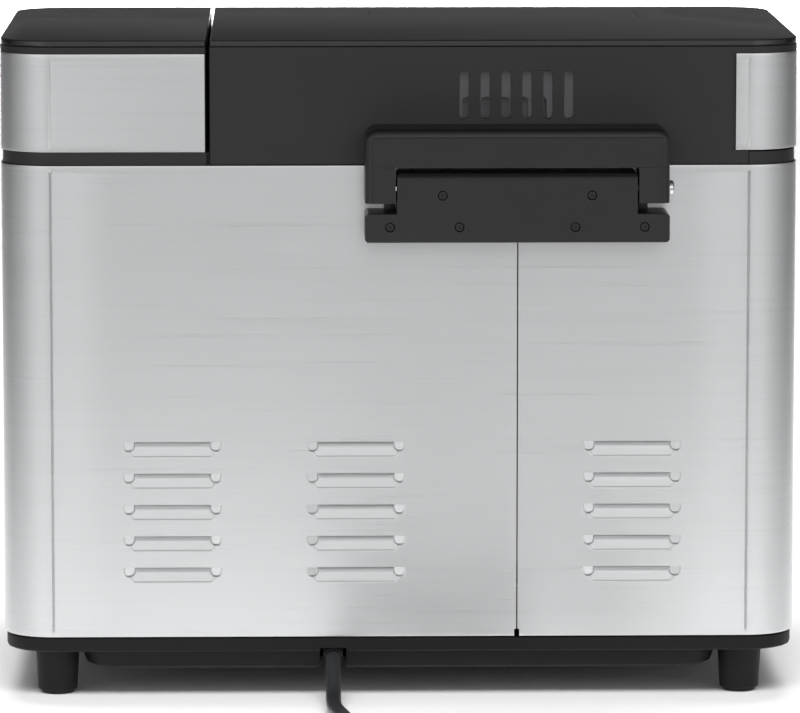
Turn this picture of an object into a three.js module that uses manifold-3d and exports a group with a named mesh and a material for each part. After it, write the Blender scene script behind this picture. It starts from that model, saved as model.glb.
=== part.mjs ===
// A bread machine: a steel-wrapped body with a hinged lid, a lift-out pan with a bail handle, a kneading
// paddle driven from below by a belt, a control housing beside the lid, and a power cord at the back.
// Millimetres, +Z up, the front towards -Y. The origin is on the table, under the middle of the machine.
import * as THREE from "three";
import { mergeVertices } from "three/addons/utils/BufferGeometryUtils.js";
import Module from "manifold-3d";

const wasm = await Module();
wasm.setup();

// ---- Overall sizes ----
const bodyWidth = 368;
const bodyDepth = 205;
const bodyHeight = 308;
const hingeReach = 26; // how far the hinge stands out behind the back wall
const cornerRadius = 23.5;

// ---- Walls and clearances ----
const gap = 0.3; // between pieces that touch
const sheet = 1; // steel sheet
const moulding = 2.6; // plastic walls
const runningGap = 0.1; // round a turning shaft

// ---- Layers, from the table up ----
const footHeight = 23.5;
const footRadius = 10.4;
const footFromSide = 24; // from the side wall to the foot's middle
const footFromBack = 30; // and from the back and the front walls
const trayDepth = 10.3; // the lower pan hangs this far under the base ring
const traySideInset = 36;
const trayBackInset = 10;
const trayRadius = 20;
const ringHeight = 7.2;
const bandHeight = 5.8;
const trimHeight = 45.5;
const crownHeight = 6; // the black edge and the glass above the trim
const glassThickness = 2.8;
const lidLift = 0.6; // between the closed lid and the deck
const lidWall = 4;
const apronGap = 0.7; // between the wrap's upper edge and the apron of the lid's back
const apronClearance = 0.6; // between that apron and the deck

// ---- Plan ----
const controlWidth = 95.2;
const lidGap = 1.3;
const edgeRadius = 1.2;
const motorFromSplit = 30.2;

// ---- Hinge ----
const hingeWidth = 138.9;
const hingeArm = 14;
const hingeAxisReach = 18; // from the back wall to the pin
const hingeAxisDrop = 14.7; // from the deck's top down to the pin
const hingeEdge = 2.2; // the rounding of the bracket's outer edges
const hingeBaseEdge = 1.2;
const pinRadius = 2;
const pinHeadRadius = 3.6;
const screwRadius = 2;
const screwRecess = 0.5; // how far the screw heads sit below the hinge's face
const screwLength = 12;

// ---- Baking chamber and pan ----
const chamberFromSide = 23.5; // from the lid's side wall to the chamber
const chamberFromSplit = 34.3; // from the control housing to the chamber
const chamberFromBack = 22.5; // from the back and the front walls to the chamber
const chamberRadius = 18;
const chamberFlange = 8;
const panClearance = 12.5; // between the chamber's wall and the pan
const panDraft = 6; // the pan's wall leans in by this much on each side
const panRadius = 30;
const panWall = 1.6;
const panLift = 20; // from the chamber's floor up to the pan
const panRimDrop = 44.5; // from the deck's top down to the rim
const earThickness = 2;
const handleReach = 60;
const wireRadius = 2;
const gripRadius = 5;
const gripLength = 80;
const bushRadius = 9;
const elementRadius = 3.2;
const elementInset = 7.5; // from the chamber's wall to the middle of the rod
const elementStep = 9; // the length of the rod's short straight pieces
const terminalSpread = 14;
const sensorRadius = 3;

// ---- Drive ----
const plateLift = 19; // from the wrap's lower edge up to the motor plate
const plateThickness = 2;
const floorLift = 12; // from the motor plate up to the chamber's floor
const shaftRadius = 4;
const bearingRadius = 11;
const largePulleyRadius = 42;
const smallPulleyRadius = 9;
const pulleyHeight = 11;
const pulleyDrop = 4; // between the motor plate and the pulleys
const beltThickness = 2;
const beltHeight = 7;
const motorRadius = 32;
const motorHeight = 78;
const motorStand = 6; // from the motor plate up to the motor

// ---- Vents ----
const ventCount = 6;
const ventPitch = 9.6;
const ventWidth = 4.3;
const ventHeight = 22.4;
const louverRows = 5;
const louverPitch = 14.67;
const louverWidth = 45.5;
const louverSlit = 2.4;
const louverLift = 91.3; // from the wrap's lower edge up to the top slit
const seamWidth = 0.6;

// ---- Cord ----
const cordRadius = 3.5;
const coilInner = 31.5;
const coilOuter = 46;
const coilHeight = 15;

// ---- Places that follow from the sizes ----
const frontY = -(bodyDepth + hingeReach) / 2;
const backY = frontY + bodyDepth;
const sideX = bodyWidth / 2;
const splitX = sideX - controlWidth;
const middleY = (frontY + backY) / 2;
const motorX = splitX + motorFromSplit;
const ringBottom = footHeight + gap;
const wrapBottom = ringBottom + ringHeight;
const trimTop = bodyHeight - crownHeight;
const deckTop = trimTop - trimHeight;
const wrapTop = deckTop - bandHeight;
const frameTop = bodyHeight - glassThickness - gap;
const lidBottom = deckTop + lidLift;
const apronBottom = wrapTop - gap + apronGap;
const panRim = deckTop - panRimDrop;
const louverTop = wrapBottom + louverLift;
const plateZ = wrapBottom + plateLift;
const plateTop = plateZ + plateThickness;
const pulleyZ = plateZ - pulleyDrop - pulleyHeight;
const motorBottom = plateZ + motorStand;
const chamberFloor = plateZ + floorLift;
const panBottom = chamberFloor + panLift;
const axisY = backY + hingeAxisReach;
const axisZ = deckTop - hingeAxisDrop;

const bodyBox = { x0: -sideX, y0: frontY, x1: sideX, y1: backY };
const lidBox = { ...bodyBox, x1: splitX - lidGap };
const controlBox = { ...bodyBox, x0: splitX };
const bodyCorners = [cornerRadius, cornerRadius, cornerRadius, cornerRadius];
const apronEnd = -sideX + cornerRadius; // the apron stops where the corner starts to turn
const lidCorners = [cornerRadius, edgeRadius, edgeRadius, cornerRadius];
const controlCorners = [edgeRadius, cornerRadius, cornerRadius, edgeRadius];
const chamberBox = {
  x0: -sideX + chamberFromSide, y0: frontY + chamberFromBack,
  x1: splitX - chamberFromSplit, y1: backY - chamberFromBack,
};
const chamberCorners = [chamberRadius, chamberRadius, chamberRadius, chamberRadius];
const panBox = inset(chamberBox, panClearance);
const panCorners = [panRadius, panRadius, panRadius, panRadius];
const panX = (chamberBox.x0 + chamberBox.x1) / 2;

// ---- Making and joining solids ----

// A solid from a closed geometry, with shared vertices merged and its faces pointing out.
function toSolid(geometry) {
  const bare = geometry.clone();
  bare.deleteAttribute("normal");
  bare.deleteAttribute("uv");
  const merged = mergeVertices(bare, 1e-4);
  const index = merged.index.array;
  const corners = [];
  for (let i = 0; i < index.length; i += 3) {
    const [a, b, c] = [index[i], index[i + 1], index[i + 2]];
    if (a !== b && b !== c && c !== a) corners.push(a, b, c);
  }
  const vertProperties = new Float32Array(merged.attributes.position.array);
  const build = (triVerts) =>
    new wasm.Manifold(new wasm.Mesh({ numProp: 3, vertProperties, triVerts: new Uint32Array(triVerts) }));
  const solid = build(corners);
  return solid.volume() > 0 ? solid : build(corners.reverse());
}

function toGeometry(solid) {
  const { numProp, vertProperties, triVerts } = solid.getMesh();
  const count = vertProperties.length / numProp;
  const position = new Float32Array(count * 3);
  for (let i = 0; i < count; i++) {
    position.set(vertProperties.subarray(i * numProp, i * numProp + 3), i * 3);
  }
  const geometry = new THREE.BufferGeometry();
  geometry.setAttribute("position", new THREE.BufferAttribute(position, 3));
  geometry.setIndex(new THREE.BufferAttribute(new Uint32Array(triVerts), 1));
  geometry.computeVertexNormals();
  return geometry;
}

function joined(solids) {
  return solids.reduce((whole, piece) => whole.add(piece));
}

function cut(solid, holes) {
  return holes.reduce((rest, hole) => rest.subtract(hole), solid);
}

function inset(box, d) {
  return { x0: box.x0 + d, y0: box.y0 + d, x1: box.x1 - d, y1: box.y1 - d };
}

// A closed outline through [x, y, radius] corners, each rounded by its radius.
function roundedOutline(corners) {
  const shape = new THREE.Shape();
  const roundness = 0.5523;
  corners.forEach(([x, y, radius], i) => {
    const corner = new THREE.Vector2(x, y);
    const before = corners[(i + corners.length - 1) % corners.length];
    const after = corners[(i + 1) % corners.length];
    const toBefore = new THREE.Vector2(before[0] - x, before[1] - y).normalize();
    const toAfter = new THREE.Vector2(after[0] - x, after[1] - y).normalize();
    const start = corner.clone().addScaledVector(toBefore, radius);
    const end = corner.clone().addScaledVector(toAfter, radius);
    if (i === 0) shape.moveTo(start.x, start.y);
    else shape.lineTo(start.x, start.y);
    if (radius === 0) return;
    const first = start.clone().addScaledVector(toBefore, -radius * roundness);
    const second = end.clone().addScaledVector(toAfter, -radius * roundness);
    shape.bezierCurveTo(first.x, first.y, second.x, second.y, end.x, end.y);
  });
  return shape;
}

function extruded(shape, length, bevel, segments) {
  const options = { depth: length - 2 * bevel, bevelEnabled: bevel > 0, curveSegments: segments };
  Object.assign(options, { bevelThickness: bevel, bevelSize: bevel, bevelOffset: -bevel, bevelSegments: 2 });
  return new THREE.ExtrudeGeometry(shape, options).translate(0, 0, bevel);
}

// A level slab with a rounded plan, drawn in by d on every side, from z0 up to z1.
function layer(box, radii, d, z0, z1, bevel = 0) {
  const { x0, y0, x1, y1 } = inset(box, d);
  const [a, b, c, e] = radii.map((radius) => Math.max(radius - d, 0.5));
  const shape = roundedOutline([[x0, y0, a], [x1, y0, b], [x1, y1, c], [x0, y1, e]]);
  return toSolid(extruded(shape, z1 - z0, bevel, 5).translate(0, 0, z0));
}

// An outline drawn in X and Z, standing between y0 and y1.
function standing(shape, y0, y1, bevel = 0) {
  const upright = extruded(shape, y1 - y0, bevel, 4).rotateX(Math.PI / 2);
  return toSolid(upright.translate(0, y1, 0));
}

function block(x0, x1, y0, y1, z0, z1) {
  const geometry = new THREE.BoxGeometry(x1 - x0, y1 - y0, z1 - z0);
  return toSolid(geometry.translate((x0 + x1) / 2, (y0 + y1) / 2, (z0 + z1) / 2));
}

function upright(radius, x, y, z0, z1, sides = 20) {
  const geometry = new THREE.CylinderGeometry(radius, radius, z1 - z0, sides).rotateX(Math.PI / 2);
  return toSolid(geometry.translate(x, y, (z0 + z1) / 2));
}

function alongX(radius, y, z, x0, x1, sides = 16) {
  const geometry = new THREE.CylinderGeometry(radius, radius, x1 - x0, sides).rotateZ(Math.PI / 2);
  return toSolid(geometry.translate((x0 + x1) / 2, y, z));
}

function alongY(radius, x, z, y0, y1, sides = 12) {
  const geometry = new THREE.CylinderGeometry(radius, radius, y1 - y0, sides);
  return toSolid(geometry.translate(x, (y0 + y1) / 2, z));
}

// A round piece from [radius, z] points, turned about an upright axis.
function turned(points, x, y, sides = 20) {
  const profile = points.map(([radius, z]) => new THREE.Vector2(radius, z));
  const geometry = new THREE.LatheGeometry(profile, sides).rotateX(Math.PI / 2);
  return toSolid(geometry.translate(x, y, 0));
}

// A ring of rectangular section.
function ring(inner, outer, z0, z1, x, y, sides = 24) {
  return turned([[inner, z0], [outer, z0], [outer, z1], [inner, z1], [inner, z0]], x, y, sides);
}

function tube(path, radius, steps, sides = 8) {
  const section = new THREE.Shape();
  for (let i = 0; i < sides; i++) {
    const angle = (2 * Math.PI * i) / sides;
    const point = [radius * Math.cos(angle), radius * Math.sin(angle)];
    if (i === 0) section.moveTo(...point);
    else section.lineTo(...point);
  }
  return toSolid(new THREE.ExtrudeGeometry(section, { steps, extrudePath: path, bevelEnabled: false }));
}

// A path of straight runs through the points, each corner between them bent to its own radius.
function bentPath(points, radii) {
  const path = new THREE.CurvePath();
  const corners = points.map((point) => new THREE.Vector3(...point));
  let from = corners[0];
  for (let i = 1; i < corners.length - 1; i++) {
    const back = from.clone().sub(corners[i]).setLength(radii[i - 1]);
    const on = corners[i + 1].clone().sub(corners[i]).setLength(radii[i - 1]);
    const start = corners[i].clone().add(back);
    const end = corners[i].clone().add(on);
    path.add(new THREE.LineCurve3(from, start));
    path.add(new THREE.QuadraticBezierCurve3(start, corners[i], end));
    from = end;
  }
  path.add(new THREE.LineCurve3(from, corners[corners.length - 1]));
  return path;
}

// A solid between two rounded plans at different heights, for a wall that leans.
function leaning(low, high, radius, z0, z1) {
  const rings = [[low, z0], [high, z1]].map(([box, z]) => {
    const { x0, y0, x1, y1 } = box;
    const shape = roundedOutline([[x0, y0, radius], [x1, y0, radius], [x1, y1, radius], [x0, y1, radius]]);
    const points = shape.getPoints(5).slice(0, -1);
    return points.map((point) => [point.x, point.y, z]);
  });
  const count = rings[0].length;
  const middle = [(low.x0 + low.x1) / 2, (low.y0 + low.y1) / 2];
  const position = [...rings[0], ...rings[1], [...middle, z0], [...middle, z1]].flat();
  const faces = [];
  for (let i = 0; i < count; i++) {
    const next = (i + 1) % count;
    faces.push(i, next, count + next, i, count + next, count + i);
    faces.push(2 * count, next, i, 2 * count + 1, count + i, count + next);
  }
  const geometry = new THREE.BufferGeometry();
  geometry.setAttribute("position", new THREE.Float32BufferAttribute(position, 3));
  geometry.setIndex(faces);
  return toSolid(geometry);
}

// ---- Finishes ----
const finishes = {
  steel: [0xc9cacc, 0.35, 1],
  darkSteel: [0x8d8f92, 0.4, 1],
  chrome: [0xdcdde0, 0.12, 1],
  aluminium: [0xb4b6b9, 0.45, 1],
  coating: [0x2c2c2e, 0.55, 0.2],
  plastic: [0x1b1b1d, 0.5, 0],
  glass: [0x0c0c0e, 0.06, 0],
  clear: [0x3a3d40, 0.04, 0],
  rubber: [0x161617, 0.8, 0],
  board: [0x1f5a35, 0.6, 0],
  brass: [0xc9a45a, 0.3, 1],
  silicone: [0xb9b4ac, 0.7, 0],
};

function piece(name, solid, finish) {
  const [color, roughness, metalness] = finishes[finish];
  const material = new THREE.MeshStandardMaterial({ color, roughness, metalness });
  const mesh = new THREE.Mesh(toGeometry(solid), material);
  mesh.name = name;
  return mesh;
}

// ---- Base ----
function basePan() {
  const trayBottom = ringBottom - trayDepth;
  const tray = { ...inset(bodyBox, trayBackInset), x0: -sideX + traySideInset, x1: sideX - traySideInset };
  const trayCorners = [trayRadius, trayRadius, trayRadius, trayRadius];
  const notch = block(cordX - 6, cordX + 6, backY - 30, backY + 1, trayBottom - 1, ringBottom + 1.5);
  const passage = block(cordX - 7.5, cordX + 7.5, backY - 34, backY - 4.4, ringBottom - 1, wrapBottom);
  const outside = joined([
    layer(bodyBox, bodyCorners, 0.8, ringBottom, wrapBottom - gap, 1),
    layer(tray, trayCorners, 0, trayBottom, ringBottom + 8).intersect(
      layer(tray, trayCorners, 0, trayBottom, wrapBottom + 10, 5),
    ),
  ]);
  return cut(outside, [
    layer(tray, trayCorners, moulding, trayBottom + moulding, wrapBottom + 20),
    layer(bodyBox, bodyCorners, 4, ringBottom + moulding, wrapBottom + 20),
    notch,
    passage,
  ]);
}

function foot() {
  const [top, wide] = [footHeight, footRadius];
  const sole = wide - 2.9;
  const points = [[0, 0], [sole, 0], [sole, 1], [wide - 1.4, 1.4], [wide, top - 1], [wide, top], [0, top]];
  return turned(points, 0, 0, 16);
}

// ---- Body shell ----
function louverColumns() {
  return [sideX - 78.8, sideX - 163.6, -sideX + 76.6]; // the middles of the three columns
}

function bodyWrap() {
  const shell = layer(bodyBox, bodyCorners, 0, wrapBottom, wrapTop - gap);
  const inside = layer(bodyBox, bodyCorners, sheet, wrapBottom - 1, wrapTop + 1);
  const slits = louverColumns().flatMap((x) =>
    Array.from({ length: louverRows }, (_, row) => {
      const top = louverTop - row * louverPitch;
      const half = louverWidth / 2 - 2;
      return block(x - half, x + half, backY - 3, backY + 1, top - louverSlit, top);
    }),
  );
  const seamX = panX - 1.5;
  const seam = block(seamX, seamX + seamWidth, backY - 3, backY + 1, wrapBottom - 1, wrapTop + 1);
  return cut(shell, [inside, ...slits, seam]);
}

// The deck is notched at the back, where the wall of the lid hangs down over it.
function deck() {
  const plate = layer(bodyBox, bodyCorners, 0.8, wrapTop, deckTop);
  const lipOut = layer(bodyBox, bodyCorners, sheet + 0.6, wrapTop - 6, wrapTop + 2);
  const lipIn = layer(bodyBox, bodyCorners, sheet + 0.6 + moulding, wrapTop - 7, wrapTop);
  const opening = layer(chamberBox, chamberCorners, 0, wrapTop - 10, deckTop + 1);
  const notchY = backY - lidWall - apronClearance;
  const lipY = backY - sheet - 0.6;
  const shelf = block(apronEnd, splitX, notchY - 3, lipY, wrapTop - 6, wrapTop + 1);
  const notch = block(apronEnd, splitX, notchY, backY + 1, wrapTop - gap, deckTop + 1);
  return cut(joined([plate, lipOut.subtract(lipIn), shelf]), [opening, notch]);
}

// ---- Control housing ----
function skin(box, radii, thickness, z0, z1) {
  return layer(box, radii, 0, z0, z1).subtract(layer(box, radii, thickness, z0 - 1, z1 + 1));
}

const displayBox = { x0: splitX + 20.7, y0: backY - 88, x1: splitX + 68.7, y1: backY - 50 };

function controlFrame() {
  const bottom = deckTop + gap;
  const recess = skin(controlBox, controlCorners, sheet + gap, bottom - 1, trimTop);
  const trimmed = block(splitX + 0.4, sideX + 1, frontY - 1, backY + 1, bottom - 2, trimTop + 1);
  return cut(layer(controlBox, controlCorners, 0, bottom, frameTop), [
    recess.intersect(trimmed),
    layer(controlBox, controlCorners, 4, bottom - 1, trimTop - 1.5),
    layer(displayBox, [2, 2, 2, 2], 0, trimTop - 5, frameTop + 1),
  ]);
}

function controlTrim() {
  const strip = skin(controlBox, controlCorners, sheet, deckTop + gap, trimTop - gap);
  const edge = splitX + 0.4 + gap;
  return strip.intersect(block(edge, sideX + 1, frontY - 1, backY + 1, deckTop - 1, trimTop + 1));
}

function panelGlass(box, radii) {
  return layer(box, radii, 0.3, frameTop + gap, bodyHeight, 0.8);
}

function controlBoard() {
  const board = inset(controlBox, 12);
  return layer(board, [3, 3, 3, 3], 0, trimTop - 12, trimTop - 10.4);
}

// ---- Lid ----
const windowBox = { x0: panX - 65, y0: backY - 180, x1: panX + 65, y1: backY - 130 };
const squareCorners = [3, 3, 3, 3];
const trimEndX = -sideX + 31; // where the lid's back steps out to the face of the steel
const trimGroove = 1.3; // between that step and the end of the steel

function lidTrimRegion(slack, groove) {
  return joined([
    block(-sideX - 1, trimEndX - groove, frontY - 1, backY + 1, lidBottom - 2, trimTop - slack),
    block(trimEndX - 2, lidBox.x1 - 0.8 - slack, frontY - 1, frontY + 4, lidBottom - 2, trimTop - slack),
  ]);
}

function ventX(i) {
  return panX - 0.5 + (i - (ventCount - 1) / 2) * ventPitch;
}

function slot(x, width, z0, z1, y0, y1) {
  const half = width / 2;
  const radius = half * 0.999;
  const corners = [[x - half, z0], [x + half, z0], [x + half, z1], [x - half, z1]];
  return standing(roundedOutline(corners.map((corner) => [...corner, radius])), y0, y1);
}

function lidFrame() {
  const recess = skin(lidBox, lidCorners, sheet + gap, lidBottom, trimTop);
  const ventTop = trimTop - 7.9;
  const vents = Array.from({ length: ventCount }, (_, i) =>
    slot(ventX(i), ventWidth, ventTop - ventHeight, ventTop, backY - 6, backY + 1),
  );
  const belowApron = [
    block(-sideX - 1, sideX, frontY - 1, backY - lidWall, apronBottom - 1, lidBottom),
    block(-sideX - 1, apronEnd + gap, frontY - 1, backY + 1, apronBottom - 1, lidBottom),
  ];
  return cut(layer(lidBox, lidCorners, 0, apronBottom, frameTop), [
    ...belowApron,
    recess.intersect(lidTrimRegion(0, 0)),
    layer(lidBox, lidCorners, lidWall, apronBottom - 1, trimTop - 1.5),
    layer(windowBox, squareCorners, 4, trimTop - 5, frameTop + 1),
    ...vents,
  ]);
}

function lidTrim() {
  const strip = skin(lidBox, lidCorners, sheet, lidBottom + gap, trimTop - gap);
  return strip.intersect(lidTrimRegion(gap, trimGroove));
}

function lidGlass() {
  const opening = layer(windowBox, squareCorners, 0, frameTop - 1, bodyHeight + 1);
  return cut(panelGlass(lidBox, lidCorners), [opening]);
}

function lidWindow() {
  return layer(windowBox, squareCorners, gap, frameTop + gap, bodyHeight - 0.4);
}

const linerTop = trimTop - 10;
const flangeBottom = lidBottom + 2.4;

function lidLiner() {
  const flange = layer(lidBox, lidCorners, 4 + 0.6, flangeBottom, flangeBottom + 1.2);
  const dome = layer(chamberBox, chamberCorners, -2, flangeBottom, linerTop, 0);
  const inside = layer(chamberBox, chamberCorners, -1, flangeBottom - 1, linerTop - sheet);
  const opening = { ...windowBox, y0: chamberBox.y0 + 10 };
  return cut(flange.add(dome), [inside, layer(opening, squareCorners, 4, linerTop - 3, linerTop + 1)]);
}

function linerWindow() {
  const pane = { ...windowBox, y0: chamberBox.y0 + 10 };
  return layer(pane, squareCorners, 0, linerTop + gap, linerTop + gap + 2.5);
}

function lidSeal() {
  const outer = layer(chamberBox, chamberCorners, -9, lidBottom, flangeBottom - gap);
  return outer.subtract(layer(chamberBox, chamberCorners, -3, lidBottom - 1, flangeBottom + 1));
}

function ventBaffle() {
  const [z0, z1] = [lidBottom + 8, trimTop - 2.4];
  const half = (ventCount * ventPitch) / 2 + 3;
  const [y0, y1] = [backY - 12, backY - 4 - gap];
  const x = panX - 0.5;
  const tray = block(x - half, x + half, y0, y1, z0, z1);
  const hollow = block(x - half + 2, x + half - 2, y0 + 2, y1 + 1, z0 + 2, z1 - 2);
  const slots = Array.from({ length: ventCount - 1 }, (_, i) =>
    slot(ventX(i) + ventPitch / 2, ventWidth, z0 + 5, z1 - 18, y0 - 1, y0 + 3),
  );
  return cut(tray, [hollow, ...slots]);
}

// ---- Hinge ----
const hingeLeft = panX - hingeWidth / 2;
const hingeRight = panX + hingeWidth / 2;
const hingeBack = backY + hingeReach;
const bracketTop = deckTop + 13;
const bracketBridge = axisZ + 10.2; // the underside of the bracket between its arms
const shoulderTop = axisZ - 10.9;

function hingePinHole() {
  return alongX(pinRadius + runningGap + 0.02, axisY, axisZ, hingeLeft - 5, hingeRight + 5);
}

function hingeBracket() {
  const bottom = axisZ - 6.2;
  const [x0, x1, x2, x3] = [hingeLeft, hingeLeft + hingeArm, hingeRight - hingeArm, hingeRight];
  const outline = roundedOutline([
    [x0, bottom, 2.8], [x1, bottom, 2.8], [x1, bracketBridge, 0.8], [x2, bracketBridge, 0.8],
    [x2, bottom, 2.8], [x3, bottom, 2.8], [x3, bracketTop, 6], [x0, bracketTop, 6],
  ]);
  const whole = standing(outline, backY - 5, hingeBack, hingeEdge);
  return cut(whole, [
    block(x0 - 1, x3 + 1, backY - 6, backY + gap, bottom - 1, bracketTop + 1),
    block(x0 - 1, x3 + 1, backY - 6, backY + 5, bottom - 1, lidBottom),
    hingePinHole(),
  ]);
}

function screwPlaces() {
  const shortLength = hingeReach - screwRecess - hingeAxisReach - pinRadius - 1;
  const upper = [34, -34].map((x) => [panX + x, axisZ - 2.5, shortLength]);
  const lower = [58, 26.4, -26.4, -58].map((x) => [panX + x, shoulderTop - 6.1, screwLength]);
  return [...upper, ...lower];
}

function hingeBase() {
  const bottom = shoulderTop - 13.2;
  const top = axisZ + 7.5;
  const [x0, x3] = [hingeLeft, hingeRight];
  const [x1, x2] = [x0 + hingeArm + 0.6, x3 - hingeArm - 0.6];
  const outline = roundedOutline([
    [x0, bottom, 1.8], [x3, bottom, 1.8], [x3, shoulderTop, 1.8], [x2, shoulderTop, 0.5],
    [x2, top, 1.8], [x1, top, 1.8], [x1, shoulderTop, 0.5], [x0, shoulderTop, 1.8],
  ]);
  const keepRadius = bracketBridge - axisZ - gap; // inside the bracket's sweep
  const corner = block(x0, x3, axisY, hingeBack + 1, axisZ, top + 1);
  const clipped = corner.subtract(alongX(keepRadius, axisY, axisZ, x0 - 1, x3 + 1, 40));
  const holes = screwPlaces().map(([x, z, length]) =>
    alongY(screwRadius + gap, x, z, hingeBack - screwRecess - length - gap, hingeBack + 1),
  );
  const whole = standing(outline, backY - 4, hingeBack, hingeBaseEdge);
  const wall = block(x0 - 1, x3 + 1, backY - 5, backY + gap, bottom - 1, top + 1);
  return cut(whole, [wall, clipped, hingePinHole(), ...holes]);
}

function hingeScrew(length) {
  const shank = alongY(screwRadius, 0, 0, -length, 0);
  const driveSlot = block(-0.35, 0.35, -0.5, 1, -1.3, 1.3);
  return shank.subtract(driveSlot);
}

function hingePin() {
  const shank = alongX(pinRadius, axisY, axisZ, hingeLeft - 1, hingeRight - 1);
  const head = alongX(pinHeadRadius, axisY, axisZ, hingeLeft - gap - 1.9, hingeLeft - gap);
  return shank.add(head);
}

// ---- Baking chamber ----
const elementZ = panBottom - 4;
const sensorX = panX + 60;
const sensorZ = chamberFloor + 58;

function bakingChamber() {
  const top = wrapTop - gap;
  const [backWall, frontWall] = [chamberBox.y1, chamberBox.y0];
  const shell = layer(chamberBox, chamberCorners, -sheet, chamberFloor, top);
  const flange = layer(chamberBox, chamberCorners, -chamberFlange, top - sheet, top);
  const terminals = [-terminalSpread, terminalSpread].map((x) =>
    alongY(elementRadius + 0.5, panX + x, elementZ, backWall - 1, backWall + 3),
  );
  return cut(shell.add(flange), [
    layer(chamberBox, chamberCorners, 0, chamberFloor + sheet, top + 1),
    upright(bearingRadius + gap, panX, middleY, chamberFloor - 1, chamberFloor + 2, 32),
    alongY(sensorRadius + gap, sensorX, sensorZ, frontWall - 3, frontWall + 1),
    ...terminals,
  ]);
}

function heatingElement() {
  const { x0, y0, x1, y1 } = inset(chamberBox, elementInset);
  const [left, right] = [panX - terminalSpread, panX + terminalSpread];
  const end = chamberBox.y1 + 9;
  const points = [[left, end], [left, y1], [x0, y1], [x0, y0], [x1, y0], [x1, y1], [right, y1], [right, end]];
  const bends = [6, chamberRadius, chamberRadius, chamberRadius, chamberRadius, 6];
  const path = bentPath(points.map(([x, y]) => [x, y, elementZ]), bends);
  return tube(path, elementRadius, Math.ceil(path.getLength() / elementStep));
}

function temperatureSensor() {
  const wall = chamberBox.y0;
  const probe = alongY(sensorRadius, sensorX, sensorZ, wall - 8, wall + 7);
  return probe.add(alongY(2 * sensorRadius, sensorX, sensorZ, wall - 8, wall - sheet - gap));
}

function panSeat() {
  return ring(46.6, 52, chamberFloor + sheet + gap, chamberFloor + 14, panX, middleY);
}

// ---- Pan ----
const pivotZ = panRim + 6;
const earX = panBox.x1 - panX + 3; // from the pan's middle to the middle of an ear

function breadPan() {
  const low = inset(panBox, panDraft);
  const outside = leaning(low, panBox, panRadius, panBottom, panRim);
  const inside = leaning(inset(low, panWall), inset(panBox, panWall), panRadius - panWall,
    panBottom + panWall, panRim + 0.01);
  const lip = layer(panBox, panCorners, -3, panRim - 2.5, panRim);
  const mouth = layer(panBox, panCorners, panWall, panRim - 3, panRim + 1);
  const ears = [-1, 1].map((side) => {
    const x = panX + side * earX;
    const [x0, x1] = [x - earThickness / 2, x + earThickness / 2];
    const tab = block(x0, x1, middleY - 8, middleY + 8, panRim - 2.4, pivotZ);
    const head = alongX(8, middleY, pivotZ, x0, x1, 16);
    return tab.add(head).intersect(block(x - 2, x + 2, middleY - 9, middleY + 9, panRim - 2.4, pivotZ + 6));
  });
  return cut(joined([outside, lip, ...ears]), [
    inside,
    mouth,
    upright(bushRadius + gap, panX, middleY, panBottom - 1, panBottom + 3, 24),
    alongX(wireRadius + runningGap + 0.04, middleY, pivotZ, panX - earX - 4, panX - earX + 4, 16),
    alongX(wireRadius + runningGap + 0.04, middleY, pivotZ, panX + earX - 4, panX + earX + 4, 16),
  ]);
}

function panCollar() {
  return ring(40, 46, chamberFloor + sheet + 0.6, panBottom - gap, panX, middleY);
}

function panBush() {
  const hole = shaftRadius + runningGap;
  const z0 = panBottom - 3;
  const z1 = panBottom + 13;
  const profile = [[hole, z0], [15, z0], [15, panBottom - gap], [bushRadius, panBottom - gap]];
  return turned([...profile, [bushRadius, z1], [hole, z1], [hole, z0]], panX, middleY);
}

function panHandle() {
  const outer = earX + 5;
  const y = middleY + handleReach;
  const points = [
    [panX - earX + 3, middleY], [panX - outer, middleY], [panX - outer, y],
    [panX + outer, y], [panX + outer, middleY], [panX + earX - 3, middleY],
  ];
  return tube(bentPath(points.map(([a, b]) => [a, b, pivotZ]), [3.4, 3.4, 3.4, 3.4]), wireRadius, 60);
}

function handleGrip() {
  const y = middleY + handleReach;
  const half = gripLength / 2;
  const sleeve = alongX(gripRadius, y, pivotZ, panX - half, panX + half, 20);
  return sleeve.subtract(alongX(wireRadius + gap, y, pivotZ, panX - half - 1, panX + half + 1, 16));
}

// ---- Paddle and couplings ----
function panShaft() {
  return upright(shaftRadius, panX, middleY, panBottom - 10, panBottom + 30, 24);
}

function panCoupling() {
  const bar = block(panX - 8.5, panX + 8.5, middleY - 17, middleY + 17, panBottom - 10, panBottom - 3.6);
  return bar.subtract(upright(shaftRadius + gap, panX, middleY, panBottom - 11, panBottom - 2));
}

function kneadingPaddle() {
  const z0 = panBottom + 13.6;
  const hub = turned([[0, z0], [10, z0], [8, z0 + 24], [5, z0 + 28], [0, z0 + 28]], panX, middleY);
  const blade = roundedOutline([
    [panX - 4, z0, 1.5], [panX + 52, z0, 4], [panX + 46, z0 + 22, 9], [panX - 4, z0 + 24, 1.5],
  ]);
  const wing = standing(blade, middleY - 2.2, middleY + 2.2, 0.8);
  return hub.add(wing).subtract(upright(shaftRadius + gap, panX, middleY, z0 - 1, panBottom + 30.4));
}

const couplingTop = panBottom - 4;

function driveCoupling() {
  const [z0, z1] = [chamberFloor + 5, chamberFloor + 9];
  const hub = upright(17, panX, middleY, z0, z1, 32);
  const dogs = [-1, 1].map((side) => {
    const x = panX + side * 12.9;
    return block(x - 3.9, x + 3.9, middleY - 4.5, middleY + 4.5, z1 - 1, couplingTop);
  });
  return joined([hub, ...dogs]).subtract(upright(shaftRadius + gap, panX, middleY, z0 - 1, z1 + 1));
}

// ---- Drive under the chamber ----
function driveShaft() {
  return upright(shaftRadius, panX, middleY, pulleyZ - 2, chamberFloor + 8.6, 24);
}

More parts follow.
